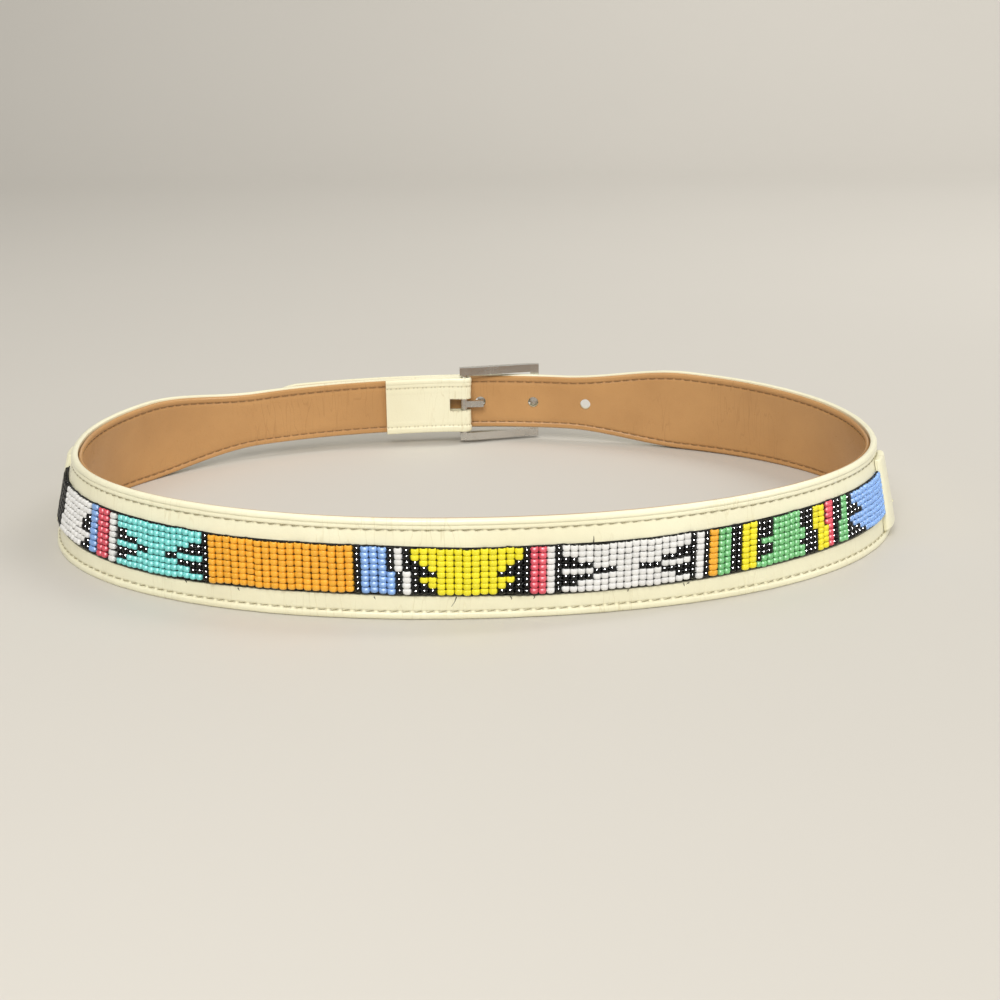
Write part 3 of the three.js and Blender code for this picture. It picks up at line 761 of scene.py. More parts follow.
def leather_hide_group():
    """Hide: mottled colour, fine grain and pores, and creases across the strap, with painted shade darkening
    the creases and the stitch groove. A crease is where a noise drawn out across the strap's width comes
    close to its middle value, in the patches another noise picks."""
    inputs = (
        ("Place", "vector"),
        ("Strap", "vector"),
        ("Colour", "colour"),
        ("Shade", "colour"),
        ("Stitch line", "value"),
        ("Creasing", "value"),
    )
    outputs = (("Colour", "colour"), ("Roughness", "value"), ("Height", "value"))
    tree, given, made = start_group("leather_hide", inputs, outputs)
    place, strap = given.outputs["Place"], given.outputs["Strap"]
    mottle = between(tree, noise(tree, place, 26.0, 4.0, 0.6), 0.35, 0.7)
    grain = noise(tree, place, 1500.0, 3.0, 0.6)
    pores = node(tree, "ShaderNodeTexVoronoi", {"Vector": place, "Scale": 1100.0}).outputs["Distance"]
    bent = noise(tree, stretched(tree, strap, (330.0, 42.0, 1.0)), 1.0, 1.0, 0.4)
    off = maths(tree, "ABSOLUTE", maths(tree, "SUBTRACT", bent, 0.5))
    line = between(tree, off, 0.0, 0.022, 1.0, 0.0)
    patches = noise(tree, stretched(tree, strap, (38.0, 16.0, 1.0)), 1.0, 2.0)
    where = between(tree, patches, 0.46, 0.6)
    crease = maths(tree, "MULTIPLY", maths(tree, "MULTIPLY", line, where), given.outputs["Creasing"])
    # Painted shade along the stitch groove: e^-r^2 of the distance from the stitch line, which darkens the
    # colour there
    away = maths(tree, "DIVIDE", given.outputs["Stitch line"], GROOVE_SHADE)
    groove = maths(tree, "EXPONENT", maths(tree, "MULTIPLY", maths(tree, "MULTIPLY", away, away), -1.0))
    # Colour: the mottle is the hide's own tone; the creases and the stitch groove are darkened towards Shade
    # as painted shade
    tint = maths(tree, "MULTIPLY_ADD", mottle, 0.24, maths(tree, "MULTIPLY", crease, 0.4))
    tint = maths(tree, "MULTIPLY_ADD", groove, 0.2, tint, clamp=True)
    colour = blend(tree, tint, given.outputs["Colour"], given.outputs["Shade"])
    rough = maths(tree, "MULTIPLY_ADD", grain, 0.16, 0.22)
    rough = maths(tree, "MULTIPLY_ADD", groove, 0.2, rough)
    height = maths(tree, "MULTIPLY_ADD", pores, 0.25, maths(tree, "MULTIPLY", grain, 0.35))
    height = maths(tree, "MULTIPLY_ADD", crease, -0.7, height)
    feed(tree, made, {"Colour": colour, "Roughness": rough, "Height": height})


def stitch_dents_group(pitch, length):
    """Where the needle went in: a soft round mark at both ends of each stitch on the stitch line, used for
    the dent's bump and for painted shade in the hole. The mark is e^-r^2, r the distance from the stitch's
    end over the mark's size."""
    tree, given, made = start_group(
        "stitch_dents", (("Strap", "vector"), ("Stitch line", "value")), (("Mask", "value"),)
    )
    along = node(tree, "ShaderNodeSeparateXYZ", {0: given.outputs["Strap"]}).outputs[0]
    share = maths(tree, "FRACT", maths(tree, "DIVIDE", along, pitch))
    from_centre = maths(tree, "ABSOLUTE", maths(tree, "SUBTRACT", share, 0.5))
    from_end = maths(tree, "MULTIPLY_ADD", from_centre, pitch, -0.5 * length)
    offsets = (from_end, given.outputs["Stitch line"])
    one, other = (maths(tree, "DIVIDE", offset, NEEDLE_MARK) for offset in offsets)
    square = maths(tree, "ADD", maths(tree, "MULTIPLY", one, one), maths(tree, "MULTIPLY", other, other))
    feed(tree, made, {"Mask": maths(tree, "EXPONENT", maths(tree, "MULTIPLY", square, -1.0))})


def thread_ply_group():
    """Twisted plies: a wave that runs round the thread as it runs along it, with a little fibre noise; where
    it is low the colour darkens as painted shade between the plies.
    """
    inputs = (
        ("Thread", "vector"),
        ("Place", "vector"),
        ("Colour", "colour"),
        ("Shade", "colour"),
        ("Plies", "value"),
    )
    tree, given, made = start_group("thread_ply", inputs, (("Colour", "colour"), ("Height", "value")))
    parts = node(tree, "ShaderNodeSeparateXYZ", {0: given.outputs["Thread"]})
    round_thread = maths(tree, "MULTIPLY", parts.outputs[1], given.outputs["Plies"])
    turned = maths(tree, "MULTIPLY_ADD", parts.outputs[0], PLY_TURNS, round_thread)
    wave = maths(tree, "SINE", maths(tree, "MULTIPLY", turned, TAU))
    fibre = noise(tree, given.outputs["Place"], 5200.0, 2.0)
    height = maths(tree, "MULTIPLY_ADD", wave, 0.35, maths(tree, "MULTIPLY", fibre, 0.5))
    # Painted shade between the plies: the colour goes to Shade where the wave is low
    shade = between(tree, height, -0.2, 0.6)
    colour = blend(tree, shade, given.outputs["Shade"], given.outputs["Colour"])
    feed(tree, made, {"Colour": colour, "Height": height})


def bead_glaze_group():
    """Glass of seed beads: each bead a little lighter or darker by its own tone, with faint cloudiness."""
    inputs = (
        ("Place", "vector"),
        ("Tone", "value"),
        ("Colour", "colour"),
        ("Deep", "colour"),
        ("Dullness", "value"),
    )
    tree, given, made = start_group("bead_glaze", inputs, (("Colour", "colour"), ("Roughness", "value")))
    cloud = noise(tree, given.outputs["Place"], 900.0, 2.0)
    share = maths(tree, "MULTIPLY_ADD", given.outputs["Tone"], 0.4, maths(tree, "MULTIPLY", cloud, 0.2))
    colour = blend(tree, share, given.outputs["Colour"], given.outputs["Deep"])
    rough = maths(tree, "MULTIPLY_ADD", cloud, 0.08, given.outputs["Dullness"])
    feed(tree, made, {"Colour": colour, "Roughness": rough})


def opaque(colour, strength=1.0):
    """A colour with its alpha, made darker or lighter by a factor."""
    return (*[min(1.0, channel * strength) for channel in colour], 1.0)


def leather_material(name, colour, shade, creasing, coat):
    """Leather: hide and needle marks drive colour, roughness and bump, under a thin finish. The needle marks
    darken the colour as painted shade in their holes.
    """
    material, tree, shader = start_material(name)
    strap = mapped_place(tree)
    away = node(tree, "ShaderNodeAttribute", attribute_name="stitch_away").outputs["Fac"]
    values = {
        "Place": object_place(tree),
        "Strap": strap,
        "Colour": opaque(colour),
        "Shade": opaque(shade),
        "Stitch line": away,
        "Creasing": creasing,
    }
    hide = use_group(tree, "leather_hide", values)
    dents = use_group(tree, "stitch_dents", {"Strap": strap, "Stitch line": away}).outputs["Mask"]
    # Painted shade in the needle holes: the colour darkens towards a deeper shade at each needle mark
    shadow = maths(tree, "MULTIPLY", dents, 0.45)
    height = maths(tree, "MULTIPLY_ADD", dents, -1.2, hide.outputs["Height"])
    looks = {
        "Base Color": blend(tree, shadow, hide.outputs["Colour"], opaque(shade, 0.35)),
        "Roughness": hide.outputs["Roughness"],
        "Normal": bump(tree, height, 0.45, 0.00018),
        "Coat Weight": coat,
        "Coat Roughness": 0.2,
        "Specular IOR Level": 0.35,
    }
    feed(tree, shader, looks)
    return material


def thread_material(name, colour, plies, roughness):
    """Thread: twisted plies drive colour, as painted shade between them, and bump, with a faint sheen of wax.
    """
    material, tree, shader = start_material(name)
    values = {
        "Thread": mapped_place(tree),
        "Place": object_place(tree),
        "Colour": opaque(colour),
        "Shade": opaque(colour, 0.45),
        "Plies": plies,
    }
    ply = use_group(tree, "thread_ply", values)
    looks = {
        "Base Color": ply.outputs["Colour"],
        "Normal": bump(tree, ply.outputs["Height"], 0.6, 0.00008),
        "Roughness": roughness,
        "Sheen Weight": 0.03,
        "Specular IOR Level": 0.3,
    }
    feed(tree, shader, looks)
    return material


def bead_material(name, colour, depth, dullness, gloss):
    """Opaque glass: the glaze's colour and roughness, and how much its surface gives back."""
    material, tree, shader = start_material(name)
    values = {
        "Place": object_place(tree),
        "Tone": node(tree, "ShaderNodeAttribute", attribute_name="tone").outputs["Fac"],
        "Colour": opaque(colour),
        "Deep": opaque(colour, depth),
        "Dullness": dullness,
    }
    glaze = use_group(tree, "bead_glaze", values)
    looks = {
        "Base Color": glaze.outputs["Colour"],
        "Roughness": glaze.outputs["Roughness"],
        "IOR": 1.5,
        "Specular IOR Level": gloss,
    }
    feed(tree, shader, looks)
    return material


def cloth_material(name, colour):
    """Close-woven backing cloth: two crossed waves make the weave's bump, and darken its colour where they
    are low as painted shade.
    """
    material, tree, shader = start_material(name)
    parts = node(tree, "ShaderNodeSeparateXYZ", {0: mapped_place(tree)})
    one, other = (maths(tree, "SINE", maths(tree, "MULTIPLY", parts.outputs[i], CLOTH_WAVES)) for i in (0, 1))
    weave = maths(tree, "MULTIPLY", one, other)
    looks = {
        # Painted shade in the weave: the colour is darker where the crossed waves are low
        "Base Color": blend(tree, between(tree, weave, -1.0, 1.0), opaque(colour, 0.6), opaque(colour)),
        "Normal": bump(tree, weave, 0.5, 0.00008),
        "Roughness": 0.85,
        "Specular IOR Level": 0.15,
    }
    feed(tree, shader, looks)
    return material


def buckle_material(colour):
    """Polished plain metal: fine scratches drawn out across the buckle, and duller patches from handling."""
    material, tree, shader = start_material("polished_metal")
    place = object_place(tree)
    stretch = node(tree, "ShaderNodeMapping", {"Vector": place, "Scale": (900.0, 900.0, 9000.0)})
    scratches = noise(tree, stretch.outputs[0], 1.0, 3.0, 0.6)
    handled = between(tree, noise(tree, place, 90.0, 3.0), 0.4, 0.7)
    rough = maths(tree, "MULTIPLY_ADD", scratches, 0.16, 0.14)
    looks = {
        "Base Color": blend(tree, handled, opaque(colour), opaque(colour, 0.92)),
        "Roughness": maths(tree, "MULTIPLY_ADD", handled, 0.08, rough),
        "Normal": bump(tree, scratches, 0.06, 0.00004),
        "Metallic": 1.0,
    }
    feed(tree, shader, looks)
    return material


def colour_property(title, description, default):
    return FloatVectorProperty(
        name=title, description=description, subtype="COLOR", size=3, min=0.0, max=1.0, default=default
    )


def length_property(title, description, default):
    return FloatProperty(name=title, description=description, unit="LENGTH", min=0.0, default=default)


def share_property(title, description, default):
    return FloatProperty(name=title, description=description, min=0.0, default=default)


def power_property(title, description, default):
    return FloatProperty(name=title, description=description, unit="POWER", default=default)


class BeltLeather(bpy.types.PropertyGroup):
    """Colours and relief of the leathers, and the buckle's metal."""

    cream: colour_property("Cream", "Colour of the outer strap and the end tabs", (0.875, 0.852, 0.635))
    # The shade colours: the hide's darker tone in its mottle, and painted shade in its creases, its stitch
    # groove and its needle holes
    cream_shade: colour_property("Cream shade", "Colour of the cream leather in creases", (0.67, 0.60, 0.38))
    tan: colour_property("Tan", "Colour of the lining", (0.55, 0.305, 0.12))
    tan_shade: colour_property("Tan shade", "Colour of the lining in creases", (0.25, 0.11, 0.035))
    metal: colour_property("Metal", "Colour of the buckle", (0.62, 0.61, 0.58))
    puff: length_property("Puff", "How far the face swells between a rim and the beadwork", 0.00016)
    unevenness: length_property("Unevenness", "How far the strap's outer side waves in and out", 0.00007)
    lining_groove: length_property("Lining groove", "Depth of the stitched grooves in the lining", 0.00035)


class BeltBeads(bpy.types.PropertyGroup):
    """Colours and sizes of the seed beads."""

    black: colour_property("Black", "Colour of the black beads", (0.003, 0.003, 0.0028))
    white: colour_property("White", "Colour of the white beads", (0.84, 0.84, 0.83))
    turquoise: colour_property("Turquoise", "Colour of the turquoise beads", (0.195, 0.71, 0.69))
    orange: colour_property("Orange", "Colour of the orange beads", (0.95, 0.46, 0.035))
    blue: colour_property("Blue", "Colour of the blue beads", (0.225, 0.41, 0.79))
    yellow: colour_property("Yellow", "Colour of the yellow beads", (0.93, 0.83, 0.025))
    rose: colour_property("Rose", "Colour of the rose beads", (0.72, 0.08, 0.12))
    green: colour_property("Green", "Colour of the green beads", (0.165, 0.50, 0.19))
    dullness: share_property("Dullness", "Roughness of the chalky beads", 0.26)
    glassy_dullness: share_property("Glassy dullness", "Roughness of the glassy beads", 0.36)
    black_dullness: share_property("Black dullness", "Roughness of the black beads", 0.1)
    length: length_property("Bead length", "How far a bead reaches up the strap", 0.00212)
    radius: length_property("Bead radius", "How far a bead's outer side is from its hole", 0.0014)
    crowding: share_property("Crowding", "A bead's size along the strap as a share of its column", 1.0)
    unevenness: length_property("Unevenness", "How far a bead strays from its place", 0.00004)
    thread: colour_property("Thread", "Colour of the weaving thread", (0.004, 0.0038, 0.0035))
    warp_radius: length_property("Warp radius", "Radius of the threads between the rows", 0.0002)
    edge_radius: length_property("Edge radius", "Radius of the doubled threads along both edges", 0.00036)
    loose_radius: length_property("Loose radius", "Radius of the loose thread ends", 0.00016)


class BeltStitches(bpy.types.PropertyGroup):
    """Thread and size of the stitches along both rims."""

    colour: colour_property("Thread", "Colour of the stitching thread", (0.47, 0.42, 0.25))
    inner: colour_property("Inner thread", "Colour of the stitches on the lining", (0.33, 0.19, 0.08))
    pitch: length_property("Pitch", "From one stitch to the next", 0.0043)
    length: length_property("Length", "Length of one stitch", 0.0026)
    radius: length_property("Radius", "Radius of the thread", 0.00018)
    slant: length_property("Slant", "How far a stitch's end lies off the line", 0.00022)


class BeltStage(bpy.types.PropertyGroup):
    """Lights, floor and camera."""

    floor: colour_property("Floor", "Colour of the floor and backdrop", (0.605, 0.582, 0.535))
    key_power: power_property("Key", "Power of the front light", 10.0)
    top_power: power_property("Top", "Power of the wide top light", 3.5)
    fill_power: power_property("Fill", "Power of the side light", 4.4)
    glint_power: power_property("Glint", "Power of the small light that only the black beads show", 110.0)
    glow_power: power_property("Glow", "Power of the soft light that only the glassy beads show", 22.0)
    back_power: power_property("Back", "Power of the light on the backdrop", 19.0)
    sky: share_property("Sky", "Strength of the even light all round", 0.39)
    draws: IntProperty(name="Draws", description="Start of the random draws for the pieces", default=SEED)


def cream_leather():
    """The cream leather, made once."""
    if "cream_hide" in bpy.data.materials:
        return bpy.data.materials["cream_hide"]
    look = bpy.context.scene.belt_leather
    return leather_material("cream_hide", look.cream, look.cream_shade, 1.0, 0.3)


def thread(name, colour, plies=2.0, roughness=0.55):
    """A thread material, made once."""
    return bpy.data.materials.get(name) or thread_material(name, colour, plies, roughness)


class MakeFinishes(bpy.types.Operator):
    """Builds the shared effects: hide, needle marks, twisted plies and bead glaze"""

    bl_idname = "belt.make_finishes"
    bl_label = "Shared Finishes"

    def execute(self, context):
        stitches = context.scene.belt_stitches
        leather_hide_group()
        stitch_dents_group(stitches.pitch, stitches.length)
        thread_ply_group()
        bead_glaze_group()
        return {"FINISHED"}


class MakeStrap(bpy.types.Operator):
    """Makes the cream strap with its rolled rims, recess, fold, tip and holes"""

    bl_idname = "belt.make_strap"
    bl_label = "Cream Strap"

    def execute(self, context):
        look = context.scene.belt_leather
        path = strap_path()
        deep, up, away = strap_section(path, look.puff / MM, look.unevenness / MM)
        along = path[:, :1] - deep * path[:, 2:3]
        out = path[:, 1:2] - deep * path[:, 3:4]
        standing = (path[:, 3:4] == 1.0) & (path[:, 1:2] == 0.0)
        up = np.where(standing, above_floor(path[:, :1], deep, up), up)
        mesh = wall_mesh("cream_strap", along, out, up, away, path[:, 7])
        strap = place_piece(mesh, cream_leather(), "cream_leather", "strap")
        carve(strap, [*hole_cutters(), slot_cutter()])
        return {"FINISHED"}


class MakeLining(bpy.types.Operator):
    """Makes the tan lining with its stitched grooves"""

    bl_idname = "belt.make_lining"
    bl_label = "Tan Lining"

    def execute(self, context):
        look = context.scene.belt_leather
        start = -BAR_ALONG + LINING_FROM_BAR
        tip = TIP_ALONG - TIP_LENGTH
        body = np.linspace(start, tip, round((tip - start) / (1.5 * STATION)))
        end = tip + TIP_LENGTH * np.sin(np.linspace(0.1, 0.92, 9) * np.pi / 2)
        along = np.concatenate([body, end])[:, None]
        half = strap_width(along) / 2 - LINING_INSET
        outer = climb(along) - STRAP_THICKNESS - GAP
        inner = outer - LINING_THICKNESS
        edge = np.array([0.9, 1.3, 1.8, 2.3, 2.6, 2.9, 3.2, 3.6, 4.2, 5.5])
        inside = np.concatenate([edge, np.linspace(8.0, 29.0, 5), 37.0 - edge[::-1]]) / 37.0
        height = MIDDLE - half + 2 * half * inside
        from_edge = np.minimum(height - MIDDLE + half, MIDDLE + half - height)
        groove = np.exp(-(((from_edge - LINING_STITCH_INSET) / LINING_GROOVE_HALF) ** 2))
        dip = groove * look.lining_groove / MM
        rim = LINING_RIM_RISE * np.exp(-(((from_edge - LINING_RIM_INSET) / LINING_RIM_HALF) ** 2))
        inner_side = inner + dip - rim * (dip < 0.2)
        back = np.linspace(0.97, 0.03, 6)
        round_out = np.array([0.25, 0.6, 1.0])
        round_up = np.array([0.45, 0.15, 0.0])
        outs = [inner + round_out[::-1], inner_side, inner + round_out, outer * np.ones(6)]
        low = MIDDLE - half
        ups = [low + round_up[::-1], height, MIDDLE + half - round_up, low + 2 * half * back]
        out = np.concatenate(outs, axis=1)
        up = np.concatenate(ups, axis=1)
        up = above_floor(along, -out, up)
        away = np.where(up > MIDDLE, MIDDLE + half - up, up - MIDDLE + half) - LINING_STITCH_INSET
        mesh = wall_mesh("tan_lining", along, out, up, away)
        material = leather_material("tan_hide", look.tan, look.tan_shade, 0.5, 0.03)
        lining = place_piece(mesh, material, "tan_leather", "lining")
        carve(lining, hole_cutters())
        return {"FINISHED"}


class MakeTabs(bpy.types.Operator):
    """Makes the crowned cream tab over each end of the beadwork"""

    bl_idname = "belt.make_tabs"
    bl_label = "End Tabs"

    def execute(self, context):
        material = cream_leather()
        low = BOTTOM_RIM_WIDTH + GAP / 2
        high = BELT_WIDTH - TOP_RIM_WIDTH - GAP / 2
        base = GAP - RIM_RISE
        for side, start in (("right", BAND_END + GAP), ("left", BAND_START - GAP - TAB_LENGTH)):
            share = 0.5 - 0.5 * np.cos(np.linspace(0, np.pi, 30))[:, None]
            crown = base + (TAB_PROUD - 0.3 - base) * (0.3 + 0.7 * (1 - np.abs(2 * share - 1) ** 3) ** 0.4)
            turn = np.linspace(0, np.pi / 2, 6)
            side_out = crown - TAB_ROUND + TAB_ROUND * np.sin(turn)
            side_up = TAB_ROUND - TAB_ROUND * np.cos(turn)
            across = np.linspace(0, 1, 9)[1:-1]
            swell = 0.12 * np.sin(np.pi * across)
            foot = np.full_like(crown, base)
            out = np.concatenate([foot, side_out, crown + swell, side_out[:, ::-1], foot], axis=1)
            flat = low + TAB_ROUND + (high - low - 2 * TAB_ROUND) * across
            up = np.concatenate([[low], low + side_up, flat, high - side_up[::-1], [high]])
            along = start + share * TAB_LENGTH
            out, up, along = np.broadcast_arrays(out, up, along)
            mesh = wall_mesh(f"cream_tab_{side}", along, out, up, np.full(out.shape, NO_STITCHES))
            place_piece(mesh, material, "cream_leather", f"end_tab_{side}")
        return {"FINISHED"}


def bead_places():
    """Every bead as a row of numbers: its place along the strap, its column's width and its row, with its
    colour beside it. Each run's columns are equal shares of it, and its motifs turn beads black."""
    places = []
    colours = []
    for colour, first, last, columns, rows, *motifs in RUNS:
        left, right = motifs or (PLAIN, PLAIN)
        pitch = (last - first) / columns
        column, row = np.meshgrid(np.arange(columns), np.array(rows))
        left_from, left_to = np.array(left)[row].transpose(2, 0, 1)
        right_from, right_to = np.array(right)[row].transpose(2, 0, 1)
        from_right = columns - 1 - column
        at_left = (column >= left_from) & (column < left_to)
        at_right = (from_right >= right_from) & (from_right < right_to)
        places.append(np.stack([first + (column + 0.5) * pitch, pitch + 0 * column, row], -1).reshape(-1, 3))
        colours.append(np.where(at_left | at_right, "black", colour).ravel())
    return np.concatenate(places), np.concatenate(colours)


class MakeBeads(bpy.types.Operator):
    """Makes the seed beads, one mesh for each colour"""

    bl_idname = "belt.make_beads"
    bl_label = "Seed Beads"

    def execute(self, context):
        look = context.scene.belt_beads
        places, colours = bead_places()
        draw = np.random.default_rng(context.scene.belt_stage.draws)
        stray = draw.normal(0, look.unevenness / MM, (len(places), 3)).clip(-0.16, 0.16)
        size = draw.normal(1, 0.018, (len(places), 2)).clip(0.95, 1.04)
        tilt = draw.normal(0, 0.022, len(places))
        tone = draw.uniform(0, 1, len(places))
        radius, half = look.radius / MM, look.length / MM / 2
        centre_out = BAND_PROUD - radius - BEAD_SUNK
        spin = TAU * (np.arange(BEAD_SIDES) + 0.5) / BEAD_SIDES
        share, rise = np.array(BEAD_PROFILE).T[:, :, None]
        for colour in np.unique(colours):
            mine = colours == colour
            dark = colour == "black"
            power = 1.0 if dark else BEAD_ROUNDNESS
            across = np.sign(np.cos(spin)) * np.abs(np.cos(spin)) ** power
            through = np.sign(np.sin(spin)) * np.abs(np.sin(spin)) ** power
            place, pitch, row = places[mine].T[:, :, None, None]
            drift_along, drift_out, drift_up = stray[mine].T[:, :, None, None]
            wider, longer = size[mine].T[:, :, None, None]
            lean = tilt[mine][:, None, None]
            rising = half * longer * rise
            along = place + drift_along + look.crowding * pitch / 2 * share * across + lean * rising
            out = centre_out + drift_out + radius * wider * share * through
            hanging = sag(place, (row + 0.5) / BEAD_ROWS) + weave_drift(place)
            up = TOP_ROW_HEIGHT - ROW_PITCH * row + hanging + drift_up + rising - lean * (along - place)
            points = bend(*np.broadcast_arrays(along, out, up))
            faces = lofted(mine.sum(), len(BEAD_PROFILE), BEAD_SIDES, closed=True)[0]
            values = {"tone": tone[mine].repeat(len(BEAD_PROFILE) * BEAD_SIDES)}
            mesh = make_mesh(f"beads_{colour}", points, faces, values=values, crease_angle=75.0)
            dullness = look.glassy_dullness if colour in GLASSY else look.dullness
            dullness = look.black_dullness if dark else dullness
            gloss = BLACK_GLOSS if dark else COLOUR_GLOSS
            tint = getattr(look, str(colour))
            material = bead_material(f"glazed_{colour}", tint, DEEP_TONE, dullness, gloss)
            place_piece(mesh, material, f"bead_{colour}", "bead_band")
        return {"FINISHED"}


class MakeWeaving(bpy.types.Operator):
    """Makes the beadwork's backing and the threads that run between and beside its rows"""

    bl_idname = "belt.make_weaving"
    bl_label = "Backing and Warp"

    def execute(self, context):
        look = context.scene.belt_beads
        along = np.linspace(BAND_START, BAND_END, 200)[:, None]
        low, high = MIDDLE - BAND_WIDTH / 2, MIDDLE + BAND_WIDTH / 2
        base = GAP - RIM_RISE - RECESS_DEPTH
        out = np.array([base, -0.75, -0.5, -0.5, -0.75, base])
        ups = (low + sag(along, 1), high + sag(along, 0))
        up = np.concatenate([ups[0], ups[0], ups[0] + 0.3, ups[1] - 0.3, ups[1], ups[1]], axis=1)
        backing = wall_mesh("bead_backing", along, out, up)
        place_piece(backing, cloth_material("black_cloth", look.thread), "black_thread", "bead_band")
        black = thread("waxed_black", look.thread)
        path = np.linspace(BAND_START, BAND_END, 420)
        rows = np.arange(BEAD_ROWS + 1)[:, None]
        up = TOP_ROW_HEIGHT + ROW_PITCH * (0.5 - rows) + weave_drift(path) + sag(path, rows / BEAD_ROWS)
        up = up + 0.05 * waves(path + 31 * rows, (7.1, 4.4), 9)
        out = 0.5 + 0.12 * waves(path + 17 * rows, (6.2, 3.1), 11)
        centres = np.stack(np.broadcast_arrays(path, out, up), axis=-1)
        inner = centres[1:-1]
        mesh = tube_mesh("warp_threads", inner, np.full(inner.shape[:2], look.warp_radius / MM), 6)
        place_piece(mesh, black, "black_thread", "bead_band")
        lumps = 1 + 0.22 * np.sin(TAU * path / 2.9 + 1.5 * waves(path, (47.0, 19.0), 13))
        edges = centres[[0, -1]] + np.array([[[0, -0.4, -0.05]], [[0, -0.4, -0.1]]])
        mesh = tube_mesh("edge_threads", edges, look.edge_radius / MM * np.stack([lumps, lumps[::-1]]), 8)
        place_piece(mesh, black, "black_thread", "bead_band")
        return {"FINISHED"}


def stitch_line(along, top):
    """The stitch line's height and the groove's place out from the crest, along the top or the bottom rim."""
    width = strap_width(along)
    fit = rim_fit(width)
    if top:
        up = MIDDLE + width / 2 - STITCH_SHARE * TOP_RIM_WIDTH * fit
    else:
        up = MIDDLE - width / 2 + STITCH_SHARE * BOTTOM_RIM_WIDTH * fit
    return up, climb(along) - GROOVE_SHARE * RIM_RISE


class MakeStitches(bpy.types.Operator):
    """Makes the stitches along both rims, outside and on the lining"""

    bl_idname = "belt.make_stitches"
    bl_label = "Rim Stitches"

    def execute(self, context):
        look = context.scene.belt_stitches
        pitch, half, radius = look.pitch / MM, look.length / MM / 2, look.radius / MM
        first = np.ceil((-BAR_ALONG + 16) / pitch)
        last = np.floor((TIP_ALONG - 7) / pitch)
        centre = ((np.arange(first, last) + 0.5) * pitch)[:, None]
        along_stitch = np.linspace(-1, 1, 7)
        along = centre + half * along_stitch
        radii = radius * (1 - 0.85 * along_stitch**6) + 0 * centre
        arch = 0.14 * (1 - along_stitch**2)
        draw = np.random.default_rng(context.scene.belt_stage.draws + 1)
        khaki = thread("waxed_khaki", look.colour, 2.0, 0.6)
        inner = thread("waxed_brown", look.inner, 2.0, 0.6)
        for title, top in (("upper", True), ("lower", False)):
            wobble = draw.normal(0, 0.05, centre.shape)
            up, groove = stitch_line(along, top)
            slanted = up + (look.slant / MM + wobble) * along_stitch
            outside = np.stack(np.broadcast_arrays(along, groove + arch + 0.6 * radius, slanted), axis=-1)
            place_piece(tube_mesh(f"stitches_{title}", outside, radii, 6), khaki, "khaki_thread")
            width = strap_width(along)
            edge = MIDDLE + (width / 2 - LINING_INSET - LINING_STITCH_INSET) * (1 if top else -1)
            floor = climb(along) - WALL + context.scene.belt_leather.lining_groove / MM
            inside = np.stack(np.broadcast_arrays(along, floor - arch - 0.5 * radius, edge), axis=-1)
            place_piece(tube_mesh(f"lining_stitches_{title}", inside, radii, 6), inner, "khaki_thread")
        return {"FINISHED"}


class MakeThreadEnds(bpy.types.Operator):
    """Makes the loose black thread ends beside the beadwork"""

    bl_idname = "belt.make_thread_ends"
    bl_label = "Thread Ends"

    def execute(self, context):
        look = context.scene.belt_beads
        centres = np.array([smooth_curve(points, 9) for points in THREAD_ENDS])
        radii = np.tile(look.loose_radius / MM * (1 - 0.5 * np.linspace(0, 1, 9) ** 4), (len(centres), 1))
        ends = tube_mesh("thread_ends", centres, radii, 6)
        place_piece(ends, thread("waxed_black", look.thread), "black_thread")
        return {"FINISHED"}


class MakeTabKnot(bpy.types.Operator):
    """Makes the small thread knot on the right tab"""

    bl_idname = "belt.make_tab_knot"
    bl_label = "Tab Knot"

    def execute(self, context):
        stitches = context.scene.belt_stitches
        centres = smooth_curve(TAB_KNOT, 13)[None]
        radii = 2 * stitches.radius / MM * np.sqrt(1.04 - np.linspace(-1, 1, 13)[None] ** 2)
        knot = tube_mesh("tab_knot", centres, radii, 10)
        place_piece(knot, thread("waxed_cream", context.scene.belt_leather.cream, 2.0, 0.5), "khaki_thread")
        return {"FINISHED"}


class FinishBuckle(bpy.types.Operator):
    """Rounds the buckle's edges a little and gives it its metal"""

    bl_idname = "belt.finish_buckle"
    bl_label = "Buckle"

    def execute(self, context):
        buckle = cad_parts["buckle"]
        weld = buckle.modifiers.new("weld", "WELD")
        weld.merge_threshold = 0.000002
        rounded = buckle.modifiers.new("rounded_edges", "BEVEL")
        rounded.width = 0.0005
        rounded.segments = 3
        rounded.limit_method = "ANGLE"
        rounded.angle_limit = np.radians(25.0)
        buckle.data.materials.clear()
        buckle.data.materials.append(buckle_material(context.scene.belt_leather.metal))
        return {"FINISHED"}


# Camera, about the ring's centre: place in millimetres, turns in radians, lens in millimetres
CAMERA_PLACE = (-36.57, -640.9, 218.61)
CAMERA_DOWN = np.radians(18.255)
CAMERA_TURN = -0.07124
CAMERA_ROLL = -0.00398
CAMERA_LENS = 58.305

# Floor and backdrop, in metres
FLOOR_HALF = 2.2
BACKDROP_START = 1.1
BACKDROP_RADIUS = 0.8

# Square area lights, in metres: name, place, target, size, colour
LIGHTS = (
    ("key", (-0.18, -0.95, 0.85), (0.0, -0.05, 0.02), 0.5, (1.0, 0.97, 0.92)),
    ("top", (-0.45, -0.15, 1.25), (0.0, 0.0, 0.0), 1.1, (1.0, 0.97, 0.93)),
    ("fill", (1.1, -0.7, 0.5), (0.0, 0.0, 0.02), 0.7, (1.0, 0.98, 0.96)),
    ("back", (0.9, 0.3, 1.3), (0.5, 1.8, 0.7), 0.9, (1.0, 0.98, 0.95)),
    ("glint", (-0.04, -0.75, 0.2), (0.0, -0.1, 0.02), 0.19, (1.0, 1.0, 1.0)),
    ("glow", (-0.04, -0.72, 0.24), (0.0, -0.1, 0.02), 0.5, (1.0, 1.0, 1.0)),
)

# Lights that fall on the beads of some colours alone, and show only in their gloss
BEAD_LIGHTS = {"glint": ("black",), "glow": GLASSY}


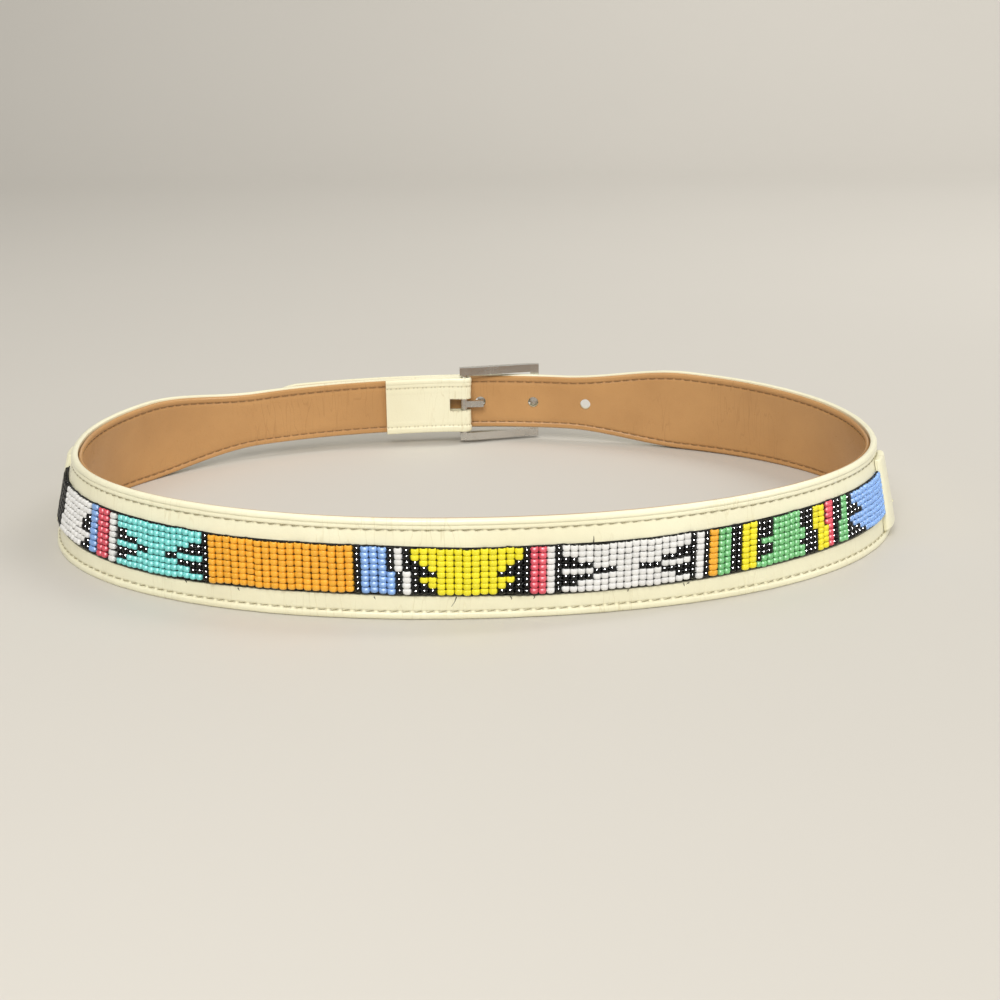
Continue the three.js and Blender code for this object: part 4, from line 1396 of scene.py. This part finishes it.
def camera_matrix():
    """The camera's axes from its turn, dip and roll, and its place: forward is the turned +Y tipped down, and
    right and up are rolled about it."""
    ahead = np.array([-np.sin(CAMERA_TURN), np.cos(CAMERA_TURN), 0.0])
    right = np.array([np.cos(CAMERA_TURN), np.sin(CAMERA_TURN), 0.0])
    up = ahead * np.sin(CAMERA_DOWN) + np.array([0, 0, np.cos(CAMERA_DOWN)])
    forward = ahead * np.cos(CAMERA_DOWN) - np.array([0, 0, np.sin(CAMERA_DOWN)])
    c, s = np.cos(CAMERA_ROLL), np.sin(CAMERA_ROLL)
    place = np.array(CAMERA_PLACE) * MM + RING_CENTRE
    matrix = np.eye(4)
    matrix[:3] = np.column_stack([c * right + s * up, c * up - s * right, -forward, place])
    return Matrix(matrix.tolist())


def add_light(name, place, target, size, power, colour):
    """A square area light that looks from its place at a target."""
    data = bpy.data.lights.new(name, "AREA")
    data.shape = "SQUARE"
    data.size = size
    data.energy = power
    data.color = colour
    light = bpy.data.objects.new(name, data)
    bpy.context.scene.collection.objects.link(light)
    away = np.array(place, float) - np.array(target, float)
    away /= np.linalg.norm(away)
    right = np.cross((0.0, 0.0, 1.0), away)
    right /= np.linalg.norm(right)
    matrix = np.eye(4)
    matrix[:3] = np.column_stack([right, np.cross(away, right), away, place])
    light.matrix_world = Matrix(matrix.tolist())
    return light


class MakeStage(bpy.types.Operator):
    """Makes the floor and backdrop, the lights and the camera"""

    bl_idname = "belt.make_stage"
    bl_label = "Stage"

    def execute(self, context):
        look = context.scene.belt_stage
        turn = np.linspace(0, np.pi / 2, 24)
        depth = np.concatenate([[-FLOOR_HALF], BACKDROP_START + BACKDROP_RADIUS * np.sin(turn)])
        height = np.concatenate([[0.0], BACKDROP_RADIUS * (1 - np.cos(turn))])
        depth = np.append(depth, depth[-1])
        height = np.append(height, FLOOR_HALF)
        rows = len(depth)
        points = np.empty((rows, 2, 3))
        points[..., 0] = (-FLOOR_HALF, FLOOR_HALF)
        points[..., 1] = depth[:, None]
        points[..., 2] = height[:, None]
        i = np.arange(rows - 1)
        quads = np.stack([2 * i, 2 * i + 1, 2 * i + 3, 2 * i + 2], axis=-1)
        mesh = bpy.data.meshes.new("floor")
        mesh.from_pydata(points.reshape(-1, 3).tolist(), [], quads.tolist())
        mesh.shade_smooth()
        material, tree, shader = start_material("pale_floor")
        patchy = noise(tree, object_place(tree), 3.0, 3.0)
        colour = blend(tree, patchy, opaque(look.floor), opaque(look.floor, 0.96))
        feed(tree, shader, {"Base Color": colour, "Roughness": 0.75})
        mesh.materials.append(material)
        floor = bpy.data.objects.new("floor", mesh)
        context.scene.collection.objects.link(floor)

        for name, place, target, size, tint in LIGHTS:
            light = add_light(name, place, target, size, getattr(look, f"{name}_power"), tint)
            if name in BEAD_LIGHTS:
                light.visible_diffuse = False
                lit = bpy.data.collections.new(f"{name}_beads")
                for colour in BEAD_LIGHTS[name]:
                    lit.objects.link(context.scene.objects[f"beads_{colour}"])
                light.light_linking.receiver_collection = lit
        world = bpy.data.worlds.new("even_light")
        world.use_nodes = True
        background = world.node_tree.nodes["Background"]
        background.inputs["Color"].default_value = (1.0, 0.985, 0.96, 1.0)
        background.inputs["Strength"].default_value = look.sky
        context.scene.world = world
        context.scene.view_settings.view_transform = "Standard"

        data = bpy.data.cameras.new("camera")
        data.lens = CAMERA_LENS
        data.clip_start = 0.01
        camera = bpy.data.objects.new("camera", data)
        context.scene.collection.objects.link(camera)
        camera.matrix_world = camera_matrix()
        context.scene.camera = camera
        return {"FINISHED"}


class BELT_PT_pieces(bpy.types.Panel):
    """Lists the belt's pieces in the 3D view's sidebar"""

    bl_idname = "BELT_PT_pieces"
    bl_label = "Beaded Belt"
    bl_space_type = "VIEW_3D"
    bl_region_type = "UI"
    bl_category = "Belt"

    def draw(self, context):
        for operator in OPERATORS:
            self.layout.operator(operator.bl_idname)


OPERATORS = (
    MakeFinishes,
    MakeStrap,
    MakeLining,
    MakeTabs,
    MakeWeaving,
    MakeBeads,
    MakeStitches,
    MakeThreadEnds,
    MakeTabKnot,
    FinishBuckle,
    MakeStage,
)
SETTINGS = {
    "belt_leather": BeltLeather,
    "belt_beads": BeltBeads,
    "belt_stitches": BeltStitches,
    "belt_stage": BeltStage,
}


def register():
    for part in (*SETTINGS.values(), *OPERATORS, BELT_PT_pieces):
        bpy.utils.register_class(part)
    for name, group in SETTINGS.items():
        setattr(bpy.types.Scene, name, PointerProperty(type=group))


def unregister():
    for name in SETTINGS:
        delattr(bpy.types.Scene, name)
    for part in reversed((*SETTINGS.values(), *OPERATORS, BELT_PT_pieces)):
        bpy.utils.unregister_class(part)


def main():
    register()
    bpy.ops.belt.make_finishes()
    bpy.ops.belt.make_strap()
    bpy.ops.belt.make_lining()
    bpy.ops.belt.make_tabs()
    bpy.ops.belt.make_weaving()
    bpy.ops.belt.make_beads()
    bpy.ops.belt.make_stitches()
    bpy.ops.belt.make_thread_ends()
    bpy.ops.belt.make_tab_knot()
    bpy.ops.belt.finish_buckle()
    bpy.ops.belt.make_stage()


if __name__ == "__main__":
    main()
